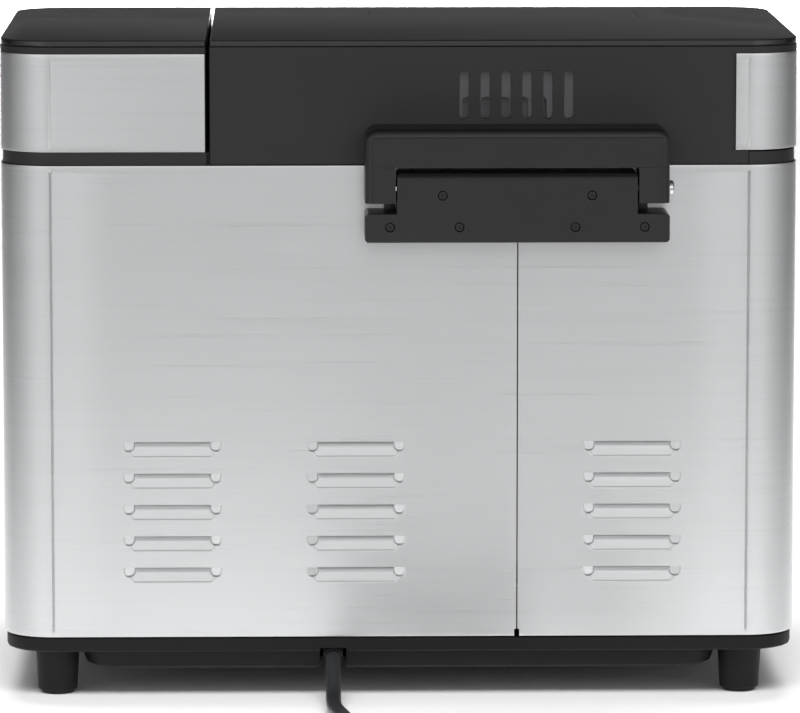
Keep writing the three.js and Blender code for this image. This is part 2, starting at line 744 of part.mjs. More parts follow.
function pulley(radius, x, sides) {
  const [z0, z1] = [pulleyZ, pulleyZ + pulleyHeight];
  const side = (pulleyHeight - beltHeight) / 2 - gap;
  const rim = radius + beltThickness + 0.8;
  const bore = shaftRadius + gap;
  const lower = [[bore, z0], [rim, z0], [rim, z0 + side], [radius, z0 + side]];
  const higher = [[radius, z1 - side], [rim, z1 - side], [rim, z1], [bore, z1], [bore, z0]];
  return turned([...lower, ...higher], x, middleY, sides);
}

// The outline round both pulleys at a distance from their grooves.
function beltOutline(offset) {
  const [large, small] = [largePulleyRadius + offset, smallPulleyRadius + offset];
  const lean = Math.acos((largePulleyRadius - smallPulleyRadius) / (motorX - panX));
  const shape = new THREE.Shape();
  shape.absarc(panX, middleY, large, lean, 2 * Math.PI - lean, false);
  shape.absarc(motorX, middleY, small, -lean, lean, false);
  shape.closePath();
  return shape;
}

function driveBelt() {
  const z0 = pulleyZ + (pulleyHeight - beltHeight) / 2;
  const belt = [beltThickness + gap, gap].map((offset, i) => {
    const height = beltHeight + 2 * i;
    const options = { depth: height, bevelEnabled: false, curveSegments: 12 };
    return toSolid(new THREE.ExtrudeGeometry(beltOutline(offset), options).translate(0, 0, z0 - i));
  });
  return belt[0].subtract(belt[1]);
}

function shaftBearing() {
  const hole = shaftRadius + runningGap;
  const [z0, z1] = [plateTop + gap, chamberFloor + 4];
  const step = z0 + 5;
  const profile = [[hole, z0], [20, z0], [20, step], [bearingRadius, step], [bearingRadius, z1]];
  return turned([...profile, [hole, z1], [hole, z0]], panX, middleY);
}

function chassisPlate() {
  const plan = { x0: panX - 90, y0: frontY + 22, x1: motorX + 36, y1: backY - 22 };
  const plate = layer(plan, [6, 6, 6, 6], 0, plateZ, plateTop);
  const legBottom = ringBottom - trayDepth + moulding + gap;
  const legs = [plan.x0 + 8, plan.x1 - 20].flatMap((x) =>
    [plan.y0 + 8, plan.y1 - 8].map((y) => block(x - 5, x + 5, y - 5, y + 5, legBottom, plateZ + 1)),
  );
  return cut(joined([plate, ...legs]), [
    upright(shaftRadius + 3, panX, middleY, plateZ - 1, plateTop + 1),
    upright(shaftRadius + 3, motorX, middleY, plateZ - 1, plateTop + 1),
  ]);
}

function motorBody() {
  const [z0, z1] = [motorBottom, motorBottom + motorHeight];
  const bore = shaftRadius + runningGap;
  const [wide, end] = [motorRadius, motorRadius - 12];
  const profile = [[bore, z0], [end, z0], [wide, z0 + 6], [wide, z1 - 6], [end, z1], [0, z1], [0, z0 + 12]];
  const can = turned([...profile, [bore, z0 + 12], [bore, z0]], motorX, middleY, 24);
  const [legBottom, legTop] = [plateTop + gap, z0 + 8];
  const legs = [-1, 1].map((side) => {
    const x = motorX + side * 24;
    return block(x - 4, x + 4, middleY - 6, middleY + 6, legBottom, legTop);
  });
  return joined([can, ...legs]);
}

function motorShaft() {
  return upright(shaftRadius, motorX, middleY, pulleyZ - 2, motorBottom + 11.6, 24);
}

// ---- Cord, coil and plug ----
const cordX = 31;
const reliefStart = [cordX, backY - 26, 34.5];
const reliefEnd = [cordX, backY - 8, 20.5];
const coilX = -22;
const coilY = backY + 150;
const coilMiddle = coilOuter - cordRadius - 0.2; // the outer turn's middle
const plugZ = 11.05;
const plugStart = coilX - coilOuter;
const plugLength = 50;

// The stretch from the strain relief to the coil: X, how far behind the back wall, and Z.
const cordRoute = [
  [31, -7.7, 20.3], [31, -3.5, 17], [31, 1.5, 13.2], [31, 6.5, 9.7], [31, 12, 6.6], [31, 18, 4.5],
  [30.8, 24.5, 3.65], [30.2, 32.5, 3.55], [28.8, 41.5, 3.55], [26.8, 51.5, 3.55], [24.6, 62.5, 3.55],
  [22.7, 74.5, 3.55], [21.3, 87.5, 3.55], [20.6, 99.5, 3.55], [20.3, 111.5, 3.55], [20.3, 124.1, 3.55],
];

function strainRelief() {
  const [from, to] = [reliefStart, reliefEnd].map((point) => new THREE.Vector3(...point));
  const length = from.distanceTo(to);
  const points = [[0, 0], [7, 0], [7, 3], [5.6, 3.4], [4.6, length], [0, length]];
  const profile = points.map(([radius, along]) => new THREE.Vector2(radius, along));
  const geometry = new THREE.LatheGeometry(profile, 20);
  const turn = new THREE.Quaternion().setFromUnitVectors(
    new THREE.Vector3(0, 1, 0), to.clone().sub(from).normalize());
  return toSolid(geometry.applyQuaternion(turn).translate(from.x, from.y, from.z));
}

function powerCord() {
  const points = cordRoute.map(([x, behind, z]) => new THREE.Vector3(x, backY + behind, z));
  return tube(new THREE.CatmullRomCurve3(points), cordRadius, 30);
}

function cordCoil() {
  return ring(coilInner, coilOuter, 0, coilHeight, coilX, coilY, 36);
}

function plugLead() {
  const y = coilY + coilMiddle;
  const start = coilX - Math.sqrt(coilOuter ** 2 - (coilMiddle - cordRadius) ** 2) - gap;
  const path = new THREE.LineCurve3(new THREE.Vector3(start, y, plugZ), new THREE.Vector3(plugStart, y, plugZ));
  return tube(path, cordRadius, 4);
}

function plugBody() {
  const y = coilY + coilMiddle;
  const tail = alongX(5.2, y, plugZ, plugStart - 22, plugStart - gap, 20);
  const outline = roundedOutline([
    [plugStart - 20, y + 7, 3.3], [plugStart - 38, y + 13.5, 4],
    [plugStart - plugLength, y + 13.5, 3.3], [plugStart - plugLength, y - 13.5, 3.3],
    [plugStart - 38, y - 13.5, 4], [plugStart - 20, y - 7, 3.3],
  ]);
  const grip = toSolid(extruded(outline, 20, 3, 4).translate(0, 0, plugZ - 10));
  return tail.add(grip);
}

function plugBlade(side) {
  const y = coilY + coilMiddle + side * 6.35;
  const x = plugStart - plugLength - gap;
  return block(x - 16, x, y - 0.75, y + 0.75, plugZ + 1, plugZ + 7);
}

function plugGround() {
  const x = plugStart - plugLength - gap;
  return alongX(2.4, coilY + coilMiddle, plugZ - 5, x - 19, x, 16);
}

// ---- Assembly ----
const machine = new THREE.Group();

const body = new THREE.Group();
machine.add(body);
body.add(piece("base_pan", basePan(), "plastic"));
const footX = sideX - footFromSide;
const [footFront, footBack] = [frontY + footFromBack, backY - footFromBack];
const footPlaces = [[-footX, footFront], [footX, footFront], [footX, footBack], [-footX, footBack]];
footPlaces.forEach(([x, y], i) => {
  const mesh = piece(`foot_${i + 1}`, foot(), "rubber");
  mesh.position.set(x, y, 0);
  body.add(mesh);
});
body.add(piece("body_wrap", bodyWrap(), "steel"));
body.add(piece("deck", deck(), "plastic"));
body.add(piece("baking_chamber", bakingChamber(), "darkSteel"));
body.add(piece("heating_element", heatingElement(), "darkSteel"));
body.add(piece("temperature_sensor", temperatureSensor(), "chrome"));
body.add(piece("pan_seat", panSeat(), "darkSteel"));
body.add(piece("chassis_plate", chassisPlate(), "darkSteel"));
body.add(piece("shaft_bearing", shaftBearing(), "brass"));
body.add(piece("motor_body", motorBody(), "darkSteel"));
body.add(piece("drive_belt", driveBelt(), "rubber"));

const control = new THREE.Group();
body.add(control);
control.add(piece("control_frame", controlFrame(), "plastic"));
control.add(piece("control_trim", controlTrim(), "steel"));
control.add(piece("control_glass", panelGlass(controlBox, controlCorners), "glass"));
control.add(piece("display", layer(displayBox, [2, 2, 2, 2], gap, trimTop - 4, frameTop - gap), "clear"));
control.add(piece("control_board", controlBoard(), "board"));

const hinge = new THREE.Group();
body.add(hinge);
hinge.add(piece("hinge_base", hingeBase(), "plastic"));
hinge.add(piece("hinge_pin", hingePin(), "chrome"));
screwPlaces().forEach(([x, z, length], i) => {
  const mesh = piece(`hinge_screw_${i + 1}`, hingeScrew(length), "plastic");
  mesh.position.set(x, hingeBack - screwRecess, z);
  hinge.add(mesh);
});

const lid = new THREE.Group();
machine.add(lid);
lid.add(piece("lid_frame", lidFrame(), "plastic"));
lid.add(piece("lid_trim", lidTrim(), "steel"));
lid.add(piece("lid_glass", lidGlass(), "glass"));
lid.add(piece("lid_window", lidWindow(), "clear"));
lid.add(piece("lid_liner", lidLiner(), "aluminium"));
lid.add(piece("liner_window", linerWindow(), "clear"));
lid.add(piece("lid_seal", lidSeal(), "silicone"));
lid.add(piece("vent_baffle", ventBaffle(), "plastic"));
lid.add(piece("hinge_bracket", hingeBracket(), "plastic"));

const pan = new THREE.Group();
machine.add(pan);
pan.add(piece("bread_pan", breadPan(), "coating"));
pan.add(piece("pan_collar", panCollar(), "aluminium"));
pan.add(piece("pan_bush", panBush(), "aluminium"));
pan.add(piece("pan_handle", panHandle(), "chrome"));
pan.add(piece("handle_grip", handleGrip(), "plastic"));
pan.add(piece("pan_shaft", panShaft(), "chrome"));
pan.add(piece("pan_coupling", panCoupling(), "aluminium"));
pan.add(piece("kneading_paddle", kneadingPaddle(), "coating"));

const drive = new THREE.Group();
machine.add(drive);
drive.add(piece("drive_shaft", driveShaft(), "chrome"));
drive.add(piece("drive_coupling", driveCoupling(), "aluminium"));
drive.add(piece("large_pulley", pulley(largePulleyRadius, panX, 28), "plastic"));
drive.add(piece("motor_shaft", motorShaft(), "chrome"));
drive.add(piece("motor_pulley", pulley(smallPulleyRadius, motorX, 16), "plastic"));

const lead = new THREE.Group();
machine.add(lead);
lead.add(piece("strain_relief", strainRelief(), "rubber"));
lead.add(piece("power_cord", powerCord(), "rubber"));
lead.add(piece("cord_coil", cordCoil(), "rubber"));
lead.add(piece("plug_lead", plugLead(), "rubber"));
lead.add(piece("plug", plugBody(), "rubber"));
lead.add(piece("plug_blade_1", plugBlade(-1), "brass"));
lead.add(piece("plug_blade_2", plugBlade(1), "brass"));
lead.add(piece("plug_ground", plugGround(), "brass"));

export default machine;
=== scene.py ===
import math

import bmesh
import bpy
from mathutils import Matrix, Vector


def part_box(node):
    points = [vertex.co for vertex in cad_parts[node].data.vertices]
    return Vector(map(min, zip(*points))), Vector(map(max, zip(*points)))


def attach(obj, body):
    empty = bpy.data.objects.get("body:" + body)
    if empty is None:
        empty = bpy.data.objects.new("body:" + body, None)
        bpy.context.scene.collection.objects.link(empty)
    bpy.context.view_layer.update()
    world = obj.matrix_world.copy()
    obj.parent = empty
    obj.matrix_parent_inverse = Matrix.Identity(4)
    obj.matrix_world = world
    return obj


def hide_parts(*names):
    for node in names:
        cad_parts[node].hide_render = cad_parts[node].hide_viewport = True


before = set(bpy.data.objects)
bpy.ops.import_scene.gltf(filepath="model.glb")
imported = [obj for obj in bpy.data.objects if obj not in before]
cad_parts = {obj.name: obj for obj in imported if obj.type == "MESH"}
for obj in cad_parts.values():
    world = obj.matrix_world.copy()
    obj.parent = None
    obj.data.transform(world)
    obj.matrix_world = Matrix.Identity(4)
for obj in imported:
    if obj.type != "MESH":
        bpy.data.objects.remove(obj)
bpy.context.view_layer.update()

# A bread machine. The steel, the hinge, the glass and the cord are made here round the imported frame,
# and the other pieces are refined copies of the frame's own. Everything is in metres, +Z up, back at +Y.
mm = 0.001
scene = bpy.context.scene
scene.view_settings.view_transform = "Standard"

wrapLow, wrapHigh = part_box("body_wrap")
backY = wrapHigh.y
sideX = wrapHigh.x
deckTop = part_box("deck")[1].z
cornerRadius = 23.5 * mm

# Camera: level with the machine's upper part, a little to one side, from behind.
camera = {"x": 50.6 * mm, "behind": 2.6, "height": 0.518, "aimHeight": 0.162, "lens": 256.2}
cameraData = bpy.data.cameras.new("camera")
cameraData.lens = camera["lens"]
cameraData.sensor_width = 36
cameraObject = bpy.data.objects.new("camera", cameraData)
scene.collection.objects.link(cameraObject)
cameraObject.location = (camera["x"], backY + camera["behind"], camera["height"])
toMachine = Vector((0, backY, camera["aimHeight"])) - cameraObject.location
cameraObject.rotation_euler = toMachine.to_track_quat("-Z", "Y").to_euler()
scene.camera = cameraObject


def toLinear(hexColor):  # an sRGB hex value as linear red, green, blue, alpha
    values = [int(hexColor[i : i + 2], 16) / 255 for i in (0, 2, 4)]
    return [v / 12.92 if v <= 0.04045 else ((v + 0.055) / 1.055) ** 2.4 for v in values] + [1.0]


def addNode(tree, kind, settings=None, sockets=None):
    node = tree.nodes.new(kind)
    for key, value in (settings or {}).items():
        setattr(node, key, value)
    for key, value in (sockets or {}).items():
        if isinstance(value, bpy.types.NodeSocket):
            tree.links.new(value, node.inputs[key])
        else:
            node.inputs[key].default_value = value
    return node


def newObject(name, verts, faces):
    data = bpy.data.meshes.new(name)
    data.from_pydata([tuple(v) for v in verts], [], faces)
    data.validate()
    made = bpy.data.objects.new(name, data)
    scene.collection.objects.link(made)
    return made


def facedOut(piece):
    shape = bmesh.new()
    shape.from_mesh(piece.data)
    bmesh.ops.recalc_face_normals(shape, faces=shape.faces)
    shape.to_mesh(piece.data)
    shape.free()
    return piece


def smooth(piece, angle=32):
    piece.data.polygons.foreach_set("use_smooth", [True] * len(piece.data.polygons))
    piece.data.set_sharp_from_angle(angle=math.radians(angle))
    return piece


def bevel(piece, width, segments=3, angle=35):
    edge = piece.modifiers.new("bevel", "BEVEL")
    edge.width = width
    edge.segments = segments
    edge.limit_method = "ANGLE"
    edge.angle_limit = math.radians(angle)
    edge.use_clamp_overlap = True
    return piece


def applied(piece):  # the piece with its modifiers made part of its mesh
    bpy.context.view_layer.update()
    depsgraph = bpy.context.evaluated_depsgraph_get()
    data = bpy.data.meshes.new_from_object(piece.evaluated_get(depsgraph))
    piece.modifiers.clear()
    piece.data = data
    return piece


def evened(piece, angle=32):  # smooth shading led by the large faces, so that flat ones look flat
    smooth(piece, angle)
    weighted = piece.modifiers.new("weighted", "WEIGHTED_NORMAL")
    weighted.keep_sharp = True
    weighted.weight = 90
    return applied(piece)


def carve(piece, cutters):
    for cutter in cutters:
        cut = piece.modifiers.new("cut", "BOOLEAN")
        cut.operation = "DIFFERENCE"
        cut.object = cutter
        cut.solver = "EXACT"
    applied(piece)
    for cutter in cutters:
        bpy.data.objects.remove(cutter)
    return piece


def place(piece, material, body, slot, *nodes):
    piece.data.materials.clear()
    piece.data.materials.append(material)
    for polygon in piece.data.polygons:
        polygon.material_index = 0
    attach(piece, body)
    if nodes:
        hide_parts(*nodes)
    return piece


def roundedLoop(low, high, radius, steps=12, stops=(), fine=()):
    # Points round a rounded rectangle, anticlockwise from above, each with its outward direction. stops are
    # extra x places on the back run; fine are extra angles, in degrees from the back and front runs.
    x0, y0, x1, y1 = low[0], low[1], high[0], high[1]
    radii = radius if isinstance(radius, (list, tuple)) else [radius] * 4
    corners = [(x1, y0, -90, -1, 1), (x1, y1, 0, -1, -1), (x0, y1, 90, 1, -1), (x0, y0, 180, 1, 1)]
    loop = []
    for (cx, cy, start, inX, inY), r in zip(corners, (radii[1], radii[2], radii[3], radii[0])):
        angles = {round(90 * i / steps, 4) for i in range(steps + 1)}
        if fine and r > 10 * mm:
            near = start in (-90, 90)  # the corner's start, or its end, meets the back or the front run
            angles |= {a if near else 90 - a for a in fine}
        for a in sorted(angles):
            turn = math.radians(start + a)
            out = Vector((math.cos(turn), math.sin(turn)))
            loop.append((cx + inX * r + r * out.x, cy + inY * r + r * out.y, out.x, out.y))
        if start == 0:
            loop += [(x, y1, 0.0, 1.0) for x in sorted(stops, reverse=True)]
        if start == 180:
            loop += [(x, y0, 0.0, -1.0) for x in sorted(stops)]
    return loop


def skirt(name, loop, rows, groove=None, keep=None):
    # A wall up from a loop. rows are (height, how far in); groove(x, y, z) is an extra depth; keep(x, y, z)
    # says whether the wall is there.
    verts = []
    for z, inward in rows:
        for x, y, nx, ny in loop:
            d = inward + (groove(x, y, z) if groove else 0)
            verts.append((x - nx * d, y - ny * d, z))
    count = len(loop)
    faces = []
    for j in range(len(rows) - 1):
        for i in range(count):
            k = (i + 1) % count
            a, b = Vector(verts[j * count + i]), Vector(verts[(j + 1) * count + k])
            if keep and not keep(*((a + b) / 2)):
                continue
            faces.append((j * count + i, j * count + k, (j + 1) * count + k, (j + 1) * count + i))
    made = newObject(name, verts, faces)
    shape = bmesh.new()
    shape.from_mesh(made.data)
    loose = [v for v in shape.verts if not v.link_faces]
    bmesh.ops.delete(shape, geom=loose, context="VERTS")
    bmesh.ops.remove_doubles(shape, verts=shape.verts, dist=1e-7)
    shape.to_mesh(made.data)
    shape.free()
    return made


def thicken(piece, thickness):
    wall = piece.modifiers.new("wall", "SOLIDIFY")
    wall.thickness = thickness
    wall.offset = -1
    return applied(piece)


def loftedSolid(name, low, high, radius, rows, steps=12):
    # A closed solid: the loop drawn in by each row's inset, with flat ends.
    loop = roundedLoop(low, high, radius, steps)
    count = len(loop)
    verts = [(x - nx * d, y - ny * d, z) for z, d in rows for x, y, nx, ny in loop]
    faces = [tuple(reversed(range(count))), tuple((len(rows) - 1) * count + i for i in range(count))]
    for j in range(len(rows) - 1):
        for i in range(count):
            k = (i + 1) % count
            faces.append((j * count + i, j * count + k, (j + 1) * count + k, (j + 1) * count + i))
    return newObject(name, verts, faces)


def roundEdgeRows(z0, z1, radius, both=True, steps=4):
    # Rows for loftedSolid with quarter-round edges at the top, and at the bottom too if both.
    turn = [math.pi / 2 * i / steps for i in range(steps + 1)]
    below = [(z0 + radius * (1 - math.sin(t)), radius * (1 - math.cos(t))) for t in reversed(turn)]
    above = [(z1 - radius * (1 - math.sin(t)), radius * (1 - math.cos(t))) for t in turn]
    return (below if both else [(z0, 0.0)]) + above


def block(x0, x1, y0, y1, z0, z1):
    verts = [(x, y, z) for z in (z0, z1) for x, y in ((x0, y0), (x1, y0), (x1, y1), (x0, y1))]
    faces = [(3, 2, 1, 0), (4, 5, 6, 7), (0, 1, 5, 4), (1, 2, 6, 5), (2, 3, 7, 6), (3, 0, 4, 7)]
    return newObject("block", verts, faces)


def roundedOutline(corners, steps=6):
    # An outline through (x, z, radius) corners, each a quarter turn.
    points = []
    for i, (x, z, r) in enumerate(corners):
        here = Vector((x, z))
        before = (Vector(corners[i - 1][:2]) - here).normalized()
        after = (Vector(corners[(i + 1) % len(corners)][:2]) - here).normalized()
        if r == 0:
            points.append(here)
            continue
        centre = here + (before + after) * r
        for k in range(steps + 1):
            t = math.pi / 2 * k / steps
            points.append(centre - after * r * math.cos(t) - before * r * math.sin(t))
    return points


def upright(name, outline, y0, y1):
    # A solid standing between y0 and y1 on an outline in X and Z.
    count = len(outline)
    verts = [(p.x, y, p.y) for y in (y0, y1) for p in outline]
    faces = [tuple(range(count)), tuple(2 * count - 1 - i for i in range(count))]
    faces += [(i, count + i, count + (i + 1) % count, (i + 1) % count) for i in range(count)]
    return facedOut(newObject(name, verts, faces))


def turned(name, profile, axis, centre, steps=32):
    # A round solid from (radius, distance along the axis) points; the ends are closed.
    verts = []
    for r, along in profile:
        for i in range(steps):
            t = 2 * math.pi * i / steps
            u, v = r * math.cos(t), r * math.sin(t)
            point = {"X": (along, u, v), "Y": (v, along, u), "Z": (u, v, along)}[axis]
            verts.append(tuple(Vector(point) + Vector(centre)))
    faces = []
    for j in range(len(profile) - 1):
        for i in range(steps):
            k = (i + 1) % steps
            faces.append((j * steps + i, j * steps + k, (j + 1) * steps + k, (j + 1) * steps + i))
    faces.append(tuple(reversed(range(steps))))
    faces.append(tuple((len(profile) - 1) * steps + i for i in range(steps)))
    return facedOut(newObject(name, verts, faces))


def principled(name, color, roughness, metallic=0.0, **sockets):
    material = bpy.data.materials.new(name)
    material.use_nodes = True
    tree = material.node_tree
    shader = tree.nodes["Principled BSDF"]
    shader.inputs["Base Color"].default_value = toLinear(color)
    shader.inputs["Roughness"].default_value = roughness
    shader.inputs["Metallic"].default_value = metallic
    for key, value in sockets.items():
        shader.inputs[key.replace("_", " ")].default_value = value
    return material, tree, shader


def grain(tree, scale, detail=3.0, roughness=0.6):
    # Noise on the object's own coordinates, stretched by a different scale on each axis.
    place3d = addNode(tree, "ShaderNodeTexCoord")
    turned3d = addNode(tree, "ShaderNodeMapping", None, {"Vector": place3d.outputs["Object"], "Scale": scale})
    return addNode(
        tree,
        "ShaderNodeTexNoise",
        None,
        {"Vector": turned3d.outputs["Vector"], "Scale": 1.0, "Detail": detail, "Roughness": roughness},
    ).outputs["Fac"]


def between(tree, fac, low, high):
    return addNode(
        tree,
        "ShaderNodeMapRange",
        None,
        {"Value": fac, "From Min": 0.3, "From Max": 0.7, "To Min": low, "To Max": high},
    ).outputs["Result"]


def tint(tree, fac, first, second):
    mix = addNode(tree, "ShaderNodeMix", {"data_type": "RGBA"})
    tree.links.new(fac, mix.inputs["Factor"])
    mix.inputs[6].default_value = toLinear(first)
    mix.inputs[7].default_value = toLinear(second)
    return mix.outputs[2]


def bump(tree, shader, height, distance, strength=1.0):
    lift = addNode(
        tree, "ShaderNodeBump", None, {"Height": height, "Distance": distance, "Strength": strength}
    )
    tree.links.new(lift.outputs["Normal"], shader.inputs["Normal"])


def brushedStainless(name, first, second, low, high, streak=0.7):
    # Stainless sheet, brushed level: fine streaks along the sheet blur reflections up and down. The real
    # streaks are about 0.1 mm apart; they are drawn about ten times coarser, so that they show.
    material, tree, shader = principled(name, first, low, 1.0, Anisotropic=0.75, Anisotropic_Rotation=0.25)
    perMetre = 1000 / streak
    lines = grain(tree, (7.0, 7.0, perMetre), 4.0, 0.7)
    cloud = grain(tree, (9.0, 9.0, 30.0), 2.0)
    both = addNode(tree, "ShaderNodeMath", {"operation": "MULTIPLY_ADD"}, {0: cloud, 1: 0.35, 2: lines})
    tree.links.new(tint(tree, between(tree, both.outputs[0], 0.0, 1.0), first, second), shader.inputs[0])
    tree.links.new(between(tree, lines, low, high), shader.inputs["Roughness"])
    bump(tree, shader, lines, 0.006 * mm, 0.4)
    return material


def mouldedPlastic(name, first, second, roughness, graining, depth, **sockets):
    # Moulded ABS with a fine spark-eroded grain, which breaks up its highlights.
    material, tree, shader = principled(name, first, roughness, **sockets)
    rough = grain(tree, (graining, graining, graining), 3.0)
    cloud = grain(tree, (14.0, 14.0, 14.0), 2.0)
    tree.links.new(tint(tree, between(tree, cloud, 0.0, 1.0), first, second), shader.inputs[0])
    tree.links.new(between(tree, rough, roughness - 0.05, roughness + 0.05), shader.inputs["Roughness"])
    bump(tree, shader, rough, depth, 0.6)
    return material


def polishedGlass(name, color, roughness, **sockets):
    # Tempered glass, black behind: a mirror-like face with the faintest haze of handling.
    material, tree, shader = principled(name, color, roughness, **sockets)
    haze = grain(tree, (40.0, 40.0, 40.0), 4.0)
    tree.links.new(between(tree, haze, roughness, roughness + 0.04), shader.inputs["Roughness"])
    return material


def castMetal(name, first, second, roughness, metallic, graining, depth):
    # Metal left as cast, drawn or coated: even grain, no direction.
    material, tree, shader = principled(name, first, roughness, metallic)
    rough = grain(tree, (graining, graining, graining), 3.0)
    tree.links.new(tint(tree, between(tree, rough, 0.0, 1.0), first, second), shader.inputs[0])
    tree.links.new(between(tree, rough, roughness - 0.06, roughness + 0.06), shader.inputs["Roughness"])
    bump(tree, shader, rough, depth, 0.5)
    return material


steel = brushedStainless("brushedStainless", "cdcecf", "d4d5d6", 0.27, 0.35)
plainSteel = castMetal("galvanisedSteel", "8f9194", "a5a7aa", 0.42, 1.0, 260.0, 0.01 * mm)
chrome = castMetal("chromePlate", "d8dade", "e4e5e8", 0.12, 1.0, 90.0, 0.002 * mm)
aluminium = castMetal("satinAluminium", "b4b6b9", "c2c3c6", 0.36, 1.0, 700.0, 0.01 * mm)
coating = castMetal("nonStickCoating", "2a2b2d", "343537", 0.45, 0.25, 900.0, 0.01 * mm)
plastic = mouldedPlastic("mouldedAbs", "18181a", "1c1c1e", 0.4, 1400.0, 0.006 * mm)
# The base's plastic is a darker copy of the black plastic: painted shade, keeping the low base dark though
# the pale floor lights it from below.
basePaintedShadePlastic = mouldedPlastic("baseAbs", "0b0b0c", "0e0e0f", 0.55, 1400.0, 0.006 * mm, Specular_IOR_Level=0.25)
# The baffle's plastic is a light grey copy of the black plastic: painted light, so that the board shows
# bright through the shade behind the lid's vent slots.
bafflePaintedLightPlastic = mouldedPlastic("baffleAbs", "9a9a9e", "a2a2a6", 0.45, 1400.0, 0.006 * mm)
glass = polishedGlass("blackGlass", "0c0c0e", 0.07, IOR=1.5)
clear = polishedGlass("smokedGlass", "222427", 0.03, Transmission_Weight=0.6, IOR=1.5)
rubber = mouldedPlastic("softPvc", "111113", "161618", 0.6, 900.0, 0.012 * mm, Specular_IOR_Level=0.25)
cordSkin = mouldedPlastic("pvcSheath", "3c3d40", "46474a", 0.42, 500.0, 0.012 * mm)
board = mouldedPlastic("circuitBoard", "1f5a35", "2a6b40", 0.4, 300.0, 0.01 * mm)
brass = castMetal("nickelledBrass", "c9c2ae", "d6cfbc", 0.22, 1.0, 400.0, 0.004 * mm)
silicone = mouldedPlastic("siliconeRubber", "b4b0a8", "c0bcb4", 0.6, 500.0, 0.01 * mm)
floorPaint = mouldedPlastic("paleFloor", "f4f4f4", "f7f7f7", 0.9, 20.0, 0.001 * mm)
print("materials made")

cord = {
    "radius": 3.5 * mm,
    "turnOuter": 42.3 * mm,
    "turnInner": 35.2 * mm,
    "low": 3.95 * mm,
    "high": 11.05 * mm,
    "tie": 0.4 * mm,
}
# From the strain relief to the coil, in millimetres: x, how far behind the back wall, and height.
cordRoute = [
    (31, -7.7, 20.3), (31, -3.5, 17), (31, 1.5, 13.2), (31, 6.5, 9.7), (31, 12, 6.6), (31, 18, 4.5),
    (30.8, 24.5, 3.65), (30.2, 32.5, 3.55), (28.8, 41.5, 3.55), (26.8, 51.5, 3.55), (24.6, 62.5, 3.55),
    (22.7, 74.5, 3.55), (21.3, 87.5, 3.55), (20.6, 99.5, 3.55), (20.3, 111.5, 3.55),
    (20.3, 124.1, 3.55),
]
coilLow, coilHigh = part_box("cord_coil")
coilCentre = Vector(((coilLow.x + coilHigh.x) / 2, (coilLow.y + coilHigh.y) / 2, 0))


def ease(value, start, end):
    t = min(max((value - start) / (end - start), 0.0), 1.0)
    return t * t * (3 - 2 * t)


def coilPoint(angle):  # degrees turned since the cord met the coil
    inward = ease(angle, 290, 360) - ease(angle, 845, 915)
    radius = cord["turnOuter"] + (cord["turnInner"] - cord["turnOuter"]) * inward
    height = cord["low"] + (cord["high"] - cord["low"]) * ease(angle, 540, 655)
    turn = math.radians(angle)
    return coilCentre + Vector((radius * math.cos(turn), radius * math.sin(turn), height))


def throughPoints(points, step):  # a smooth line through the points, cut to short even steps
    line = []
    for i in range(len(points) - 1):
        a, b = points[max(i - 1, 0)], points[i]
        c, d = points[i + 1], points[min(i + 2, len(points) - 1)]
        parts = max(2, int((c - b).length / step))
        for k in range(parts):
            t = k / parts
            line.append(
                0.5 * (2 * b + (c - a) * t + (2 * a - 5 * b + 4 * c - d) * t * t
                       + (3 * b - a - 3 * c + d) * t ** 3)
            )
    return line + [points[-1]]


def makeCord():
    lead = [Vector((x * mm, backY + behind * mm, z * mm)) for x, behind, z in cordRoute]
    turns = [coilPoint(angle) for angle in range(0, 1171, 6)]
    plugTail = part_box("plug")[1].x
    end = turns[-1]
    tail = [Vector((x, end.y, end.z)) for x in (end.x - 12 * mm, end.x - 30 * mm, plugTail + 0.4 * mm)]
    beforeCoil = Vector((lead[-1].x, coilCentre.y - 12 * mm, cord["low"]))
    line = throughPoints(lead + [beforeCoil] + turns + tail, 2.5 * mm)
    curve = bpy.data.curves.new("mainsCord", "CURVE")
    curve.dimensions = "3D"
    spline = curve.splines.new("POLY")
    spline.points.add(len(line) - 1)
    for point, place3d in zip(spline.points, line):
        point.co = (*place3d, 1.0)
    curve.bevel_depth = cord["radius"]
    curve.bevel_resolution = 3
    curve.use_fill_caps = True
    made = bpy.data.objects.new("mainsCord", curve)
    scene.collection.objects.link(made)
    made.data.materials.append(cordSkin)
    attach(made, "body")
    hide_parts("power_cord", "cord_coil", "plug_lead")
    length = sum((b - a).length for a, b in zip(line, line[1:]))
    print("cord length", round(length, 3))
    return made, line, length


def refined(name, node, material, slot, body, width=0.3 * mm, angle=32):
    # A copy of a frame piece with merged corners, flat faces joined up and its edges broken.
    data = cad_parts[node].data.copy()
    data.name = name
    made = bpy.data.objects.new(name, data)
    scene.collection.objects.link(made)
    shape = bmesh.new()
    shape.from_mesh(data)
    bmesh.ops.remove_doubles(shape, verts=shape.verts, dist=1e-6)
    bmesh.ops.dissolve_limit(
        shape, angle_limit=math.radians(0.6), verts=shape.verts, edges=shape.edges, delimit={"NORMAL"}
    )
    shape.to_mesh(data)
    shape.free()
    for key in [a.name for a in data.attributes if a.name in ("custom_normal", "sharp_edge")]:
        data.attributes.remove(data.attributes[key])
    if width:
        applied(bevel(made, width, 2, 40))
    evened(made, angle)
    return place(made, material, body, slot, node)


cordPiece, cordLine, cordLength = makeCord()
plugPieces = [
    refined("mainsPlug", "plug", rubber, "rubber", "body", 0.5 * mm, 40),
    refined("lineBlade", "plug_blade_1", brass, "brass", "body", 0.25 * mm),
    refined("neutralBlade", "plug_blade_2", brass, "brass", "body", 0.25 * mm),
    refined("groundPin", "plug_ground", brass, "brass", "body", 0.5 * mm),
]


